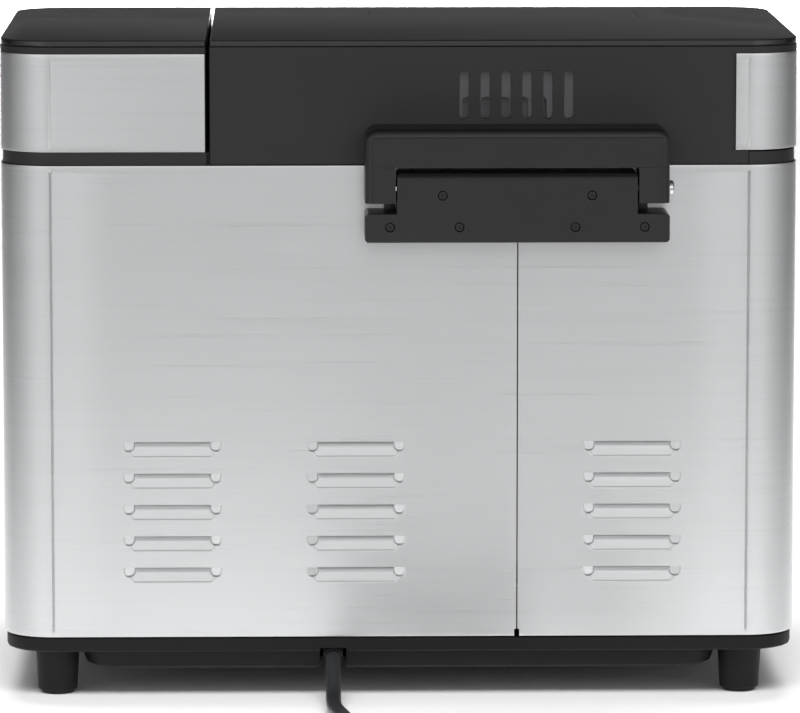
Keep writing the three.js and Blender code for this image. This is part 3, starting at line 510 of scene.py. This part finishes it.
def makeTie():  # a soft band round the coil's bundle, on the side away from the machine
    section = 40
    centre = coilCentre + Vector((0, (cord["turnOuter"] + cord["turnInner"]) / 2, 0))
    half = Vector(((cord["turnOuter"] - cord["turnInner"]) / 2 + cord["radius"] + 0.05 * mm,
                   (cord["high"] - cord["low"]) / 2 + cord["radius"] + 0.05 * mm))
    middle = (cord["high"] + cord["low"]) / 2
    verts = []
    for x, grow in ((-6, 0.0), (-6, 1.0), (6, 1.0), (6, 0.0)):
        for i in range(section):
            t = 2 * math.pi * i / section
            c, s = math.cos(t), math.sin(t)
            fullness = (abs(c) ** 5 + abs(s) ** 5) ** -0.2
            out = half + Vector((1, 1)) * cord["tie"] * 0.75 * grow
            verts.append((centre.x + x * mm, centre.y + out.x * c * fullness, middle + out.y * s * fullness))
    faces = []
    for j in range(4):
        for i in range(section):
            k = (i + 1) % section
            n = (j + 1) % 4
            faces.append((j * section + i, j * section + k, n * section + k, n * section + i))
    made = facedOut(newObject("cordTie", verts, faces))
    return place(smooth(made), rubber, "body", "rubber")


makeTie()
print("cord laid")

# The body wrap has a seam, corner creases and louvers.
wrap = {
    "crease": 0.75 * mm,  # how deep the pressed creases beside the corners are
    "creaseHalf": 0.75 * mm,
    "creaseEnd": 1.8 * mm,
    "seamX": -54.2 * mm,
    "seam": 0.6 * mm,
    "notchWidth": 2.3 * mm,
    "notchHeight": 3.3 * mm,
    "thickness": 0.8 * mm,
}
louver = {
    "columns": [105.2 * mm, 20.4 * mm, -107.4 * mm],
    "rows": 5,
    "pitch": 14.67 * mm,
    "top": 122.3 * mm,
    "half": 22.75 * mm,
    "drop": 7.0 * mm,
    "lean": 0.9 * mm,  # the blade leans in by this much, then curls in by more at the slit
    "curl": 0.85 * mm,
    "foot": 0.3 * mm,
    "taper": 4.2 * mm,  # how much narrower the blade is at its foot, on each side
    "sideSlope": 1.6 * mm,
    "capHalf": 2.7 * mm,
    "capDrop": 4.6 * mm,
    "capDepth": 0.35 * mm,
    "capLean": 0.22,  # how steeply a dent's bottom slopes towards the louver's middle
    "margin": 0.7 * mm,
}
tileHalf = louver["half"] + louver["margin"]
tileTop = louver["margin"]
tileBottom = louver["drop"] + louver["margin"]
creaseX = sideX - cornerRadius


def creaseDepth(x, y, z, low, high, depth):
    off = abs(abs(x) - creaseX) / wrap["creaseHalf"]
    if off >= 1:
        return 0.0
    along = min(1.0, max(0.0, min(z - low, high - z) - wrap["creaseEnd"]) / (1.5 * mm))
    return depth * along * (0.5 + 0.5 * math.cos(math.pi * off))


def creaseStops(edge):  # the columns of the crease on the flat side; the arc has its own
    return [sign * (edge - part * wrap["creaseHalf"]) for sign in (-1, 1) for part in (0.25, 0.5, 0.75, 1.0)]


creaseTurn = math.degrees(wrap["creaseHalf"] / cornerRadius)  # half its width, as a turn
fineAngles = [creaseTurn * part for part in (0.25, 0.5, 0.75, 1.0, 1.5)]


def louverRowTop(row):
    return louver["top"] - row * louver["pitch"]


def makeWrap():
    stops = creaseStops(creaseX)
    stops += [x + side * tileHalf for x in louver["columns"] for side in (-1, 1)]
    for width in (wrap["seam"], wrap["notchWidth"]):
        stops += [wrap["seamX"] - width / 2, wrap["seamX"] + width / 2]
    low, high = wrapLow.z, wrapHigh.z
    heights = {low + 0.5 * mm, low + 1.2 * mm, low + wrap["notchHeight"], high - 0.5 * mm, high - 1.2 * mm}
    for inset in (1.6, 2.2, 2.8, 3.6, 5.0):  # where the creases die out
        heights |= {low + inset * mm, high - inset * mm}
    for row in range(louver["rows"]):
        heights |= {louverRowTop(row) + tileTop, louverRowTop(row) - tileBottom}
    rows = [(low, 0.15 * mm)] + [(z, 0.0) for z in sorted(heights)] + [(high, 0.08 * mm)]

    def keep(x, y, z):
        if y < backY - 2 * mm:
            return True
        if abs(x - wrap["seamX"]) < wrap["seam"] / 2:
            return False
        if abs(x - wrap["seamX"]) < wrap["notchWidth"] / 2 and z < low + wrap["notchHeight"]:
            return False
        for column in louver["columns"]:
            for row in range(louver["rows"]):
                top = louverRowTop(row)
                if abs(x - column) < tileHalf and top - tileBottom < z < top + tileTop:
                    return False
        return True

    loop = roundedLoop(wrapLow, wrapHigh, cornerRadius, 16, stops, fineAngles)

    def depth(x, y, z):
        return creaseDepth(x, y, z, low, high, wrap["crease"])

    made = skirt("bodyWrap", loop, rows, depth, keep)
    thicken(made, wrap["thickness"])
    return place(smooth(made, 40), steel, "body", "steel", "body_wrap")


def louverTile():
    # One pressed louver in its own small sheet, about the middle of its slit's edge. The blade
    # leans in to the slit, and a round dent is pressed at each end.
    half, drop = louver["half"], louver["drop"]
    cap, capDrop = louver["capHalf"], louver["capDrop"]
    ends = [half - 2 * cap * k / 20 for k in range(21)]
    ends += [half - 2 * cap - k * mm for k in (0.4, 0.9, 1.6, 3.0)]
    middle = {half * k / 5 for k in range(-2, 3)}
    across = sorted({round(sign * x, 7) for x in ends for sign in (-1, 1)} | middle)
    down = [drop * k / 26 for k in range(27)]

    def depth(x, z):
        lower = z / drop
        width = half - louver["taper"] * lower ** 1.6
        side = min(1.0, max(0.0, (width - abs(x)) / louver["sideSlope"]))
        foot = louver["foot"] * min(1.0, (drop - z) / (0.5 * mm))
        curl = louver["curl"] * math.exp(-((z / (1.8 * mm)) ** 2))
        blade = (foot + curl + louver["lean"] * (1 - lower)) * side * side * (3 - 2 * side)
        reach = (abs((abs(x) - (half - cap)) / cap) ** 3 + (z / capDrop) ** 3) ** (1 / 3)
        rim = min(1.0, max(0.0, 1 - reach) / 0.16)
        dent = rim * (louver["capDepth"] + louver["capLean"] * (half - abs(x)))
        return dent if reach < 1 else blade

    verts, faces = [], []
    for z in down:
        verts += [(x, -depth(x, z), -z) for x in across]
    count = len(across)
    for j in range(len(down) - 1):
        faces += [(j * count + i, (j + 1) * count + i, (j + 1) * count + i + 1, j * count + i + 1)
                  for i in range(count - 1)]
    rim = len(verts)  # the flat border, out to the tile's edge, and the slit's turned lip
    top, bottom, side = tileTop, -tileBottom, tileHalf
    for y, z in ((0, top), (0, 0), (-0.9 * mm, -0.02 * mm), (0, bottom)):
        verts += [(x, y, z) for x in across]
    lip, under, base = rim + count, rim + 2 * count, rim + 3 * count
    last = (len(down) - 1) * count
    for i in range(count - 1):
        faces.append((lip + i, lip + i + 1, rim + i + 1, rim + i))
        faces.append((under + i, under + i + 1, lip + i + 1, lip + i))
        faces.append((base + i, base + i + 1, last + i + 1, last + i))
    edge = len(verts)
    for sign in (-1, 1):
        verts += [(sign * side, 0, z) for z in [top, 0] + [-z for z in down[1:]] + [bottom]]
    levels = len(down) + 2
    for s, column in ((0, 0), (1, count - 1)):
        inner = [rim + column, lip + column]
        inner += [j * count + column for j in range(1, len(down))] + [base + column]
        outer = [edge + s * levels + j for j in range(levels)]
        for j in range(levels - 1):
            quad = (outer[j], outer[j + 1], inner[j + 1], inner[j])
            faces.append(quad if s == 0 else tuple(reversed(quad)))
    made = newObject("louverTile", verts, faces)
    shape = bmesh.new()
    shape.from_mesh(made.data)
    bmesh.ops.remove_doubles(shape, verts=shape.verts, dist=1e-7)
    bmesh.ops.recalc_face_normals(shape, faces=shape.faces)
    outward = sum(f.normal.y for f in shape.faces)
    if outward < 0:
        bmesh.ops.reverse_faces(shape, faces=shape.faces)
    shape.to_mesh(made.data)
    shape.free()
    return thicken(made, 0.6 * mm)


def repeatTree():
    # Instances of one object at every point, and again in rows below each point.
    tree = bpy.data.node_groups.new("repeatDown", "GeometryNodeTree")
    face = tree.interface
    face.new_socket("Geometry", in_out="INPUT", socket_type="NodeSocketGeometry")
    for name, kind in (("Pattern", "Object"), ("Rows", "Int"), ("Pitch", "Float"), ("Finish", "Material")):
        face.new_socket(name, in_out="INPUT", socket_type="NodeSocket" + kind)
    face.new_socket("Geometry", in_out="OUTPUT", socket_type="NodeSocketGeometry")
    given = addNode(tree, "NodeGroupInput")
    step = addNode(tree, "ShaderNodeCombineXYZ", None, {"Z": given.outputs["Pitch"]})
    line = addNode(
        tree, "GeometryNodeMeshLine", {"mode": "OFFSET"},
        {"Count": given.outputs["Rows"], "Offset": step.outputs[0]},
    )
    columns = addNode(
        tree, "GeometryNodeInstanceOnPoints", None,
        {"Points": given.outputs["Geometry"], "Instance": line.outputs["Mesh"]},
    )
    places = addNode(tree, "GeometryNodeRealizeInstances", None, {"Geometry": columns.outputs[0]})
    pattern = addNode(tree, "GeometryNodeObjectInfo", None, {"Object": given.outputs["Pattern"]})
    copies = addNode(
        tree, "GeometryNodeInstanceOnPoints", None,
        {"Points": places.outputs[0], "Instance": pattern.outputs["Geometry"]},
    )
    whole = addNode(tree, "GeometryNodeRealizeInstances", None, {"Geometry": copies.outputs[0]})
    painted = addNode(
        tree, "GeometryNodeSetMaterial", None,
        {"Geometry": whole.outputs[0], "Material": given.outputs["Finish"]},
    )
    result = addNode(tree, "NodeGroupOutput")
    tree.links.new(painted.outputs[0], result.inputs[0])
    return tree


repeatDown = repeatTree()


def repeated(name, points, pattern, rows, pitch, material, angle=40):
    made = newObject(name, points, [])
    modifier = made.modifiers.new("repeat", "NODES")
    modifier.node_group = repeatDown
    values = {"Pattern": pattern, "Rows": rows, "Pitch": pitch, "Finish": material}
    for item in repeatDown.interface.items_tree:
        if item.in_out == "INPUT" and item.name in values:
            modifier[item.identifier] = values[item.name]
    applied(made)
    bpy.data.objects.remove(pattern)
    return smooth(made, angle)


makeWrap()
louverPoints = [(x, backY, louver["top"]) for x in louver["columns"]]
louvers = repeated("louvers", louverPoints, louverTile(), louver["rows"], -louver["pitch"], steel)
place(louvers, steel, "body", "steel")
print("wrap made")

# The steel trims of the lid and the control housing.
trim = {"thickness": 0.9 * mm, "crease": 0.35 * mm, "edge": 0.08 * mm}


def makeTrim(name, node, body, keep):
    low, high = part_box(node)
    loop = roundedLoop(wrapLow, wrapHigh, cornerRadius, 16, creaseStops(creaseX) + trimStops, fineAngles)
    insets = (0.4, 1.6, 2.2, 2.8, 3.6)  # where the creases die out
    heights = [low.z + inset * mm for inset in insets]
    heights += [high.z - inset * mm for inset in reversed(insets)]
    rows = [(low.z, trim["edge"])] + [(z, 0.0) for z in heights] + [(high.z, trim["edge"])]

    def depth(x, y, z):
        return creaseDepth(x, y, z, low.z, high.z, trim["crease"])

    made = thicken(skirt(name, loop, rows, depth, keep), trim["thickness"])
    return place(smooth(made, 40), steel, body, "steel", node)


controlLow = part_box("control_trim")[0].x
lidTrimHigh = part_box("lid_trim")[1]
lidTrimEnd = -sideX + 29.7 * mm  # where the steel stops on the lid's back
trimStops = [controlLow, lidTrimHigh.x, lidTrimEnd]
makeTrim("controlTrim", "control_trim", "body", lambda x, y, z: x > controlLow)
makeTrim("lidTrim", "lid_trim", "lid", lambda x, y, z: x < (lidTrimHigh.x if y < 0 else lidTrimEnd))

def makeGlass(name, node, body, radii, hole=None):
    low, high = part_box(node)
    made = loftedSolid(name, low, high, radii, roundEdgeRows(low.z, high.z, 0.5 * mm, False), 14)
    if hole:
        (hx0, hy0, _), (hx1, hy1, _) = hole
        pane = loftedSolid("hole", (hx0 - 0.1 * mm, hy0 - 0.1 * mm), (hx1 + 0.1 * mm, hy1 + 0.1 * mm), 3 * mm,
                           [(low.z - mm, 0.0), (high.z + mm, 0.0)], 5)
        carve(made, [pane])
    return place(smooth(made, 25), glass, body, "glass", node)


def makeWindow():  # the lid's pane, level with the glass round it
    low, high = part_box("lid_window")
    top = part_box("lid_glass")[1].z
    rows = [(low.z, 0.0), (top - 0.1 * mm, 0.0), (top, 0.1 * mm)]
    made = loftedSolid("lidWindow", low, high, 3 * mm, rows, 5)
    return place(smooth(made, 25), clear, "lid", "clear", "lid_window")


def makeBaffle():  # the board behind the lid's vents, with its own arched slots
    low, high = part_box("vent_baffle")
    made = block(low.x, high.x, low.y, high.y - baffle["back"], low.z, high.z)
    cutters = []
    for i in range(baffle["slots"]):
        x = baffle["middle"] + (i - (baffle["slots"] - 1) / 2) * baffle["pitch"]
        half, top = baffle["width"] / 2, baffle["top"]
        outline = roundedOutline([
            (x - half, low.z + 4 * mm, half * 0.99), (x + half, low.z + 4 * mm, half * 0.99),
            (x + half, top, half * 0.99), (x - half, top, half * 0.99),
        ])
        cutters.append(upright("arch", outline, low.y + mm, high.y + mm))
    carve(made, cutters)
    return place(smooth(made, 30), bafflePaintedLightPlastic, "lid", "plastic", "vent_baffle")


baffle = {
    "back": 2.5 * mm,  # from the lid's inner side to the board's face
    "slots": 5,
    "pitch": 8.45 * mm,
    "middle": -48.2 * mm,
    "width": 5.0 * mm,
    "top": 281.5 * mm,
}
makeWindow()
makeBaffle()
outer = cornerRadius - 0.3 * mm
makeGlass("lidGlass", "lid_glass", "lid", [outer, 1 * mm, 1 * mm, outer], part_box("lid_window"))
makeGlass("controlGlass", "control_glass", "body", [1 * mm, outer, outer, 1 * mm])
print("trims and glass made")

hinge = {
    "bracketEdge": 3.6 * mm,
    "baseEdge": 1.2 * mm,
    "arm": 14 * mm,
    "groove": 0.5 * mm,
    "screwRadius": 2 * mm,
}
bracketLow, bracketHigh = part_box("hinge_bracket")
baseLow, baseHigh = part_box("hinge_base")
pinLow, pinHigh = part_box("hinge_pin")
axisY = (pinLow.y + pinHigh.y) / 2
axisZ = (pinLow.z + pinHigh.z) / 2
lidBottom = deckTop + 0.6 * mm


def makeBracket():
    x0, x3 = bracketLow.x, bracketHigh.x
    x1, x2 = x0 + hinge["arm"], x3 - hinge["arm"]
    bottom, top, bridge = bracketLow.z, bracketHigh.z, axisZ + 10.2 * mm
    outline = roundedOutline([
        (x0, bottom - 12 * mm, 6 * mm), (x3, bottom - 12 * mm, 6 * mm), (x3, top, 6 * mm), (x0, top, 6 * mm),
    ], 8)
    made = upright("hingeBracket", outline, bracketLow.y - 8 * mm, bracketHigh.y)
    applied(bevel(made, hinge["bracketEdge"], 7, 50))
    edge, half, mark = bracketHigh.y, hinge["groove"] / 2, hinge["bracketEdge"]
    cutters = [
        block(x0 - mm, x3 + mm, edge - 60 * mm, edge + mm, bottom - 30 * mm, bottom),
        block(x1, x2, edge - 60 * mm, edge + mm, bottom - 31 * mm, bridge),
        block(x0 - mm, x3 + mm, bracketLow.y - 10 * mm, bracketLow.y, bottom - mm, top + mm),
        block(x0 - mm, x3 + mm, bracketLow.y - 11 * mm, backY + 5 * mm, bottom - mm, lidBottom),
        turned("hole", [(2.12 * mm, x0 - mm), (2.12 * mm, x3 + mm)], "X", (0, axisY, axisZ), 24),
        block(x0 + mark, x3 - mark, edge - 0.6 * mm, edge + mm, top - mark - 2 * half, top - mark),
        block(x0 + mark - half, x0 + mark, edge - 0.3 * mm, edge + mm, bottom - mm, top - mark),
        block(x3 - mark, x3 - mark + half, edge - 0.3 * mm, edge + mm, bottom - mm, top - mark),
        block(x0 + mark, x1 + mm, edge - 0.35 * mm, edge + mm, bridge - 0.15 * mm, bridge + 0.15 * mm),
        block(x2 - mm, x3 - mark, edge - 0.35 * mm, edge + mm, bridge - 0.15 * mm, bridge + 0.15 * mm),
    ]
    carve(made, cutters)
    return place(evened(made, 30), plastic, "lid", "plastic", "hinge_bracket")


screwNodes = [f"hinge_screw_{i + 1}" for i in range(6)]
screwPlaces = []
for node in screwNodes:
    low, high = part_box(node)
    screwPlaces.append(((low.x + high.x) / 2, high.y, (low.z + high.z) / 2))


def makeBase():
    x0, x3 = baseLow.x, baseHigh.x
    x1, x2 = x0 + hinge["arm"] + 0.6 * mm, x3 - hinge["arm"] - 0.6 * mm
    bottom, top, shoulder = baseLow.z, baseHigh.z, axisZ - 10.9 * mm
    outline = roundedOutline([
        (x0, bottom, 1.8 * mm), (x3, bottom, 1.8 * mm), (x3, shoulder, 1.8 * mm), (x2, shoulder, 0.5 * mm),
        (x2, top, 1.8 * mm), (x1, top, 1.8 * mm), (x1, shoulder, 0.5 * mm), (x0, shoulder, 1.8 * mm),
    ])
    made = upright("hingeBase", outline, baseLow.y - 3 * mm, baseHigh.y)
    applied(bevel(made, hinge["baseEdge"], 4, 50))
    edge = baseHigh.y
    cutters = [
        block(x0 - mm, x3 + mm, baseLow.y - 5 * mm, baseLow.y, bottom - mm, top + mm),
        turned("hole", [(2.12 * mm, x0 - mm), (2.12 * mm, x3 + mm)], "X", (0, axisY, axisZ), 24),
        block(x1 + 1 * mm, x2 - 1 * mm, edge - 0.4 * mm, edge + mm, top - 2.4 * mm, top - 2.1 * mm),
    ]
    corner = block(x0, x3, axisY, edge + mm, axisZ, top + mm)
    keep = turned("sweep", [(9.85 * mm, x0 - mm), (9.85 * mm, x3 + mm)], "X", (0, axisY, axisZ), 64)
    cutters.append(carve(corner, [keep]))
    for x, y, z in screwPlaces:
        cutters.append(turned("well", [(2.25 * mm, -13 * mm), (2.25 * mm, 2 * mm)], "Y", (x, edge, z), 28))
    carve(made, cutters)
    return place(evened(made, 30), plastic, "body", "plastic", "hinge_base")


def screwPattern():
    # A pan-head machine screw with a cross recess, its head's face level with the origin.
    r = hinge["screwRadius"]
    profile = [
        (r * 0.75, -4 * mm), (r * 0.8, -1.4 * mm), (r, -1.2 * mm), (r, -0.25 * mm), (r - 0.25 * mm, 0.0),
    ]
    made = turned("screw", profile, "Y", (0, 0, 0), 24)
    cross = [
        block(-1.1 * mm, 1.1 * mm, -0.8 * mm, mm, -0.25 * mm, 0.25 * mm),
        block(-0.25 * mm, 0.25 * mm, -0.8 * mm, mm, -1.1 * mm, 1.1 * mm),
    ]
    return carve(made, cross)


def makeKnuckles():  # the ribs of the base that stand behind the arms' lower ends
    shoulder = axisZ - 10.9 * mm
    for x in (baseLow.x + hinge["arm"] - 5 * mm, baseHigh.x - hinge["arm"] - 0.2 * mm):
        made = block(x, x + 5.2 * mm, baseLow.y, baseLow.y + 7.5 * mm, shoulder - mm, shoulder + 4 * mm)
        place(smooth(applied(bevel(made, 0.3 * mm, 2))), plastic, "body", "plastic")


makeBracket()
makeBase()
makeKnuckles()
screws = repeated("hingeScrews", screwPlaces, screwPattern(), 1, 0.0, plastic, 30)
place(screws, plastic, "body", "plastic", *screwNodes)
pinProfile = [(2 * mm, pinHigh.x), (2 * mm, pinLow.x + 1.9 * mm), (3.55 * mm, pinLow.x + 1.9 * mm)]
pinProfile += [(3.55 * mm, pinLow.x + 0.5 * mm), (3.0 * mm, pinLow.x + 0.05 * mm)]
pin = turned("hingePin", pinProfile, "X", (0, axisY, axisZ), 28)
place(smooth(pin, 30), chrome, "body", "chrome", "hinge_pin")
print("hinge made")

foot = {"top": 10.4 * mm, "bottom": 9.1 * mm, "sole": 7.6 * mm}
for i in range(4):
    low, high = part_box(f"foot_{i + 1}")
    centre = ((low.x + high.x) / 2, (low.y + high.y) / 2, 0)
    profile = [(foot["sole"] - 0.3 * mm, 0), (foot["sole"], 0.3 * mm), (foot["sole"], 1.2 * mm)]
    profile += [(foot["bottom"] - 0.5 * mm, 1.3 * mm), (foot["bottom"], 1.8 * mm)]
    profile += [(foot["top"], high.z - 0.5 * mm), (foot["top"], high.z)]
    made = turned(f"footRubber{i + 1}", profile, "Z", centre, 36)
    place(smooth(made, 35), rubber, "body", "rubber", f"foot_{i + 1}")

# The other pieces are refined copies of the frame's.
refinedPieces = [  # name, node, finish, slot, body, edge width in millimetres
    ("basePan", "base_pan", basePaintedShadePlastic, "plastic", "body", 0.6),
    ("deckPlate", "deck", plastic, "plastic", "body", 0.5),
    ("controlShell", "control_frame", plastic, "plastic", "body", 0.3),
    ("lidShell", "lid_frame", plastic, "plastic", "lid", 0.3),
    ("linerWindow", "liner_window", clear, "clear", "lid", 0.3),
    ("lidLiner", "lid_liner", aluminium, "aluminium", "lid", 0.0),
    ("lidSeal", "lid_seal", silicone, "silicone", "lid", 0.5),
    ("bakingChamber", "baking_chamber", plainSteel, "plain_steel", "body", 0.0),
    ("heatingElement", "heating_element", plainSteel, "plain_steel", "body", 0.0),
    ("temperatureSensor", "temperature_sensor", chrome, "chrome", "body", 0.3),
    ("panSeat", "pan_seat", plainSteel, "plain_steel", "body", 0.4),
    ("chassisPlate", "chassis_plate", plainSteel, "plain_steel", "body", 0.3),
    ("shaftBearing", "shaft_bearing", brass, "brass", "body", 0.4),
    ("motorBody", "motor_body", plainSteel, "plain_steel", "body", 0.5),
    ("driveBelt", "drive_belt", rubber, "rubber", "body", 0.3),
    ("displayModule", "display", clear, "clear", "body", 0.3),
    ("controlBoard", "control_board", board, "board", "body", 0.2),
    ("strainRelief", "strain_relief", rubber, "rubber", "body", 0.4),
    ("breadPan", "bread_pan", coating, "coating", "pan", 0.0),
    ("panCollar", "pan_collar", aluminium, "aluminium", "pan", 0.4),
    ("panBush", "pan_bush", aluminium, "aluminium", "pan", 0.4),
    ("panHandle", "pan_handle", chrome, "chrome", "handle", 0.0),
    ("handleGrip", "handle_grip", plastic, "plastic", "handle", 1.0),
    ("panShaft", "pan_shaft", chrome, "chrome", "paddle", 0.4),
    ("panCoupling", "pan_coupling", aluminium, "aluminium", "paddle", 0.6),
    ("kneadingPaddle", "kneading_paddle", coating, "coating", "paddle", 0.6),
    ("driveShaft", "drive_shaft", chrome, "chrome", "drive", 0.4),
    ("driveCoupling", "drive_coupling", aluminium, "aluminium", "drive", 0.6),
    ("largePulley", "large_pulley", plastic, "plastic", "drive", 0.3),
    ("motorShaft", "motor_shaft", chrome, "chrome", "rotor", 0.4),
    ("motorPulley", "motor_pulley", plastic, "plastic", "rotor", 0.3),
]
for name, node, material, slot, body, width in refinedPieces:
    refined(name, node, material, slot, body, width * mm)
print("pieces refined")

# Soft light from the camera's side of the machine, brightest beside the camera, and none from beyond it.
studio = {
    "lean": [  # strength by how far a direction leans to +Y: 1 is straight behind the machine
        (-1.0, 0.1), (-0.3, 0.1), (-0.16, 0.28), (0.0, 0.44), (0.4, 0.86), (0.75, 1.55), (0.93, 1.8),
        (0.985, 1.3), (1.0, 1.2),
    ],
    "rise": [(-1.0, 1.0), (0.0, 1.0), (0.12, 0.95), (0.35, 0.7), (0.7, 0.35), (1.0, 0.2)],  # share by height
}
world = bpy.data.worlds.new("studio")
world.use_nodes = True
scene.world = world
tree = world.node_tree
direction = addNode(tree, "ShaderNodeTexCoord")
parts = addNode(tree, "ShaderNodeSeparateXYZ", None, {0: direction.outputs["Generated"]})


def strengthRamp(value, steps):
    share = addNode(tree, "ShaderNodeMapRange", None, {"Value": value, "From Min": -1.0, "From Max": 1.0})
    ramp = addNode(tree, "ShaderNodeValToRGB", None, {"Fac": share.outputs["Result"]})
    most = max(strength for _, strength in steps)
    while len(ramp.color_ramp.elements) < len(steps):
        ramp.color_ramp.elements.new(0.5)
    for element, (at, strength) in zip(ramp.color_ramp.elements, steps):
        element.position = (at + 1) / 2
        element.color = [strength / most] * 3 + [1.0]
    raised = addNode(tree, "ShaderNodeMath", {"operation": "MULTIPLY"},
                     {0: ramp.outputs["Color"], 1: most})
    return raised.outputs[0]


lean = strengthRamp(parts.outputs["Y"], studio["lean"])
rise = strengthRamp(parts.outputs["Z"], studio["rise"])
strength = addNode(tree, "ShaderNodeMath", {"operation": "MULTIPLY"}, {0: lean, 1: rise}).outputs[0]
tree.links.new(strength, tree.nodes["Background"].inputs["Strength"])
tree.nodes["Background"].inputs["Color"].default_value = (1, 1, 1, 1)

floorHalf, floorZ = 6, -0.0005
floorCorners = [(sx * floorHalf, sy * floorHalf, floorZ) for sx, sy in ((-1, -1), (1, -1), (1, 1), (-1, 1))]
floor = newObject("floor", floorCorners, [(0, 1, 2, 3)])
floor.data.materials.append(floorPaint)


def softLight(name, location, target, size, power, spread):
    data = bpy.data.lights.new(name, "AREA")
    data.shape = "RECTANGLE"
    data.size, data.size_y = size
    data.energy = power
    data.spread = math.radians(spread)
    made = bpy.data.objects.new(name, data)
    scene.collection.objects.link(made)
    made.location = location
    made.rotation_euler = (Vector(target) - Vector(location)).to_track_quat("-Z", "Y").to_euler()
    return made


def onlyOnFloor(light):  # lights the sweep and leaves the machine alone
    lit = bpy.data.collections.new(light.name + "Floor")
    lit.objects.link(floor)
    light.light_linking.receiver_collection = lit


onlyOnFloor(softLight("sweepLight", (0, -1.5, 2.4), (0, -1.51, 0), (1.6, 3.2), 17, 50))
onlyOnFloor(softLight("nearLight", (0, 1.1, 1.0), (0, 0.1, 0), (1.5, 0.3), 4, 60))
softLight("farLight", (0, -4.4, 3.0), (0, -4.41, 0), (3.0, 0.8), 60, 60)
print("studio lit")
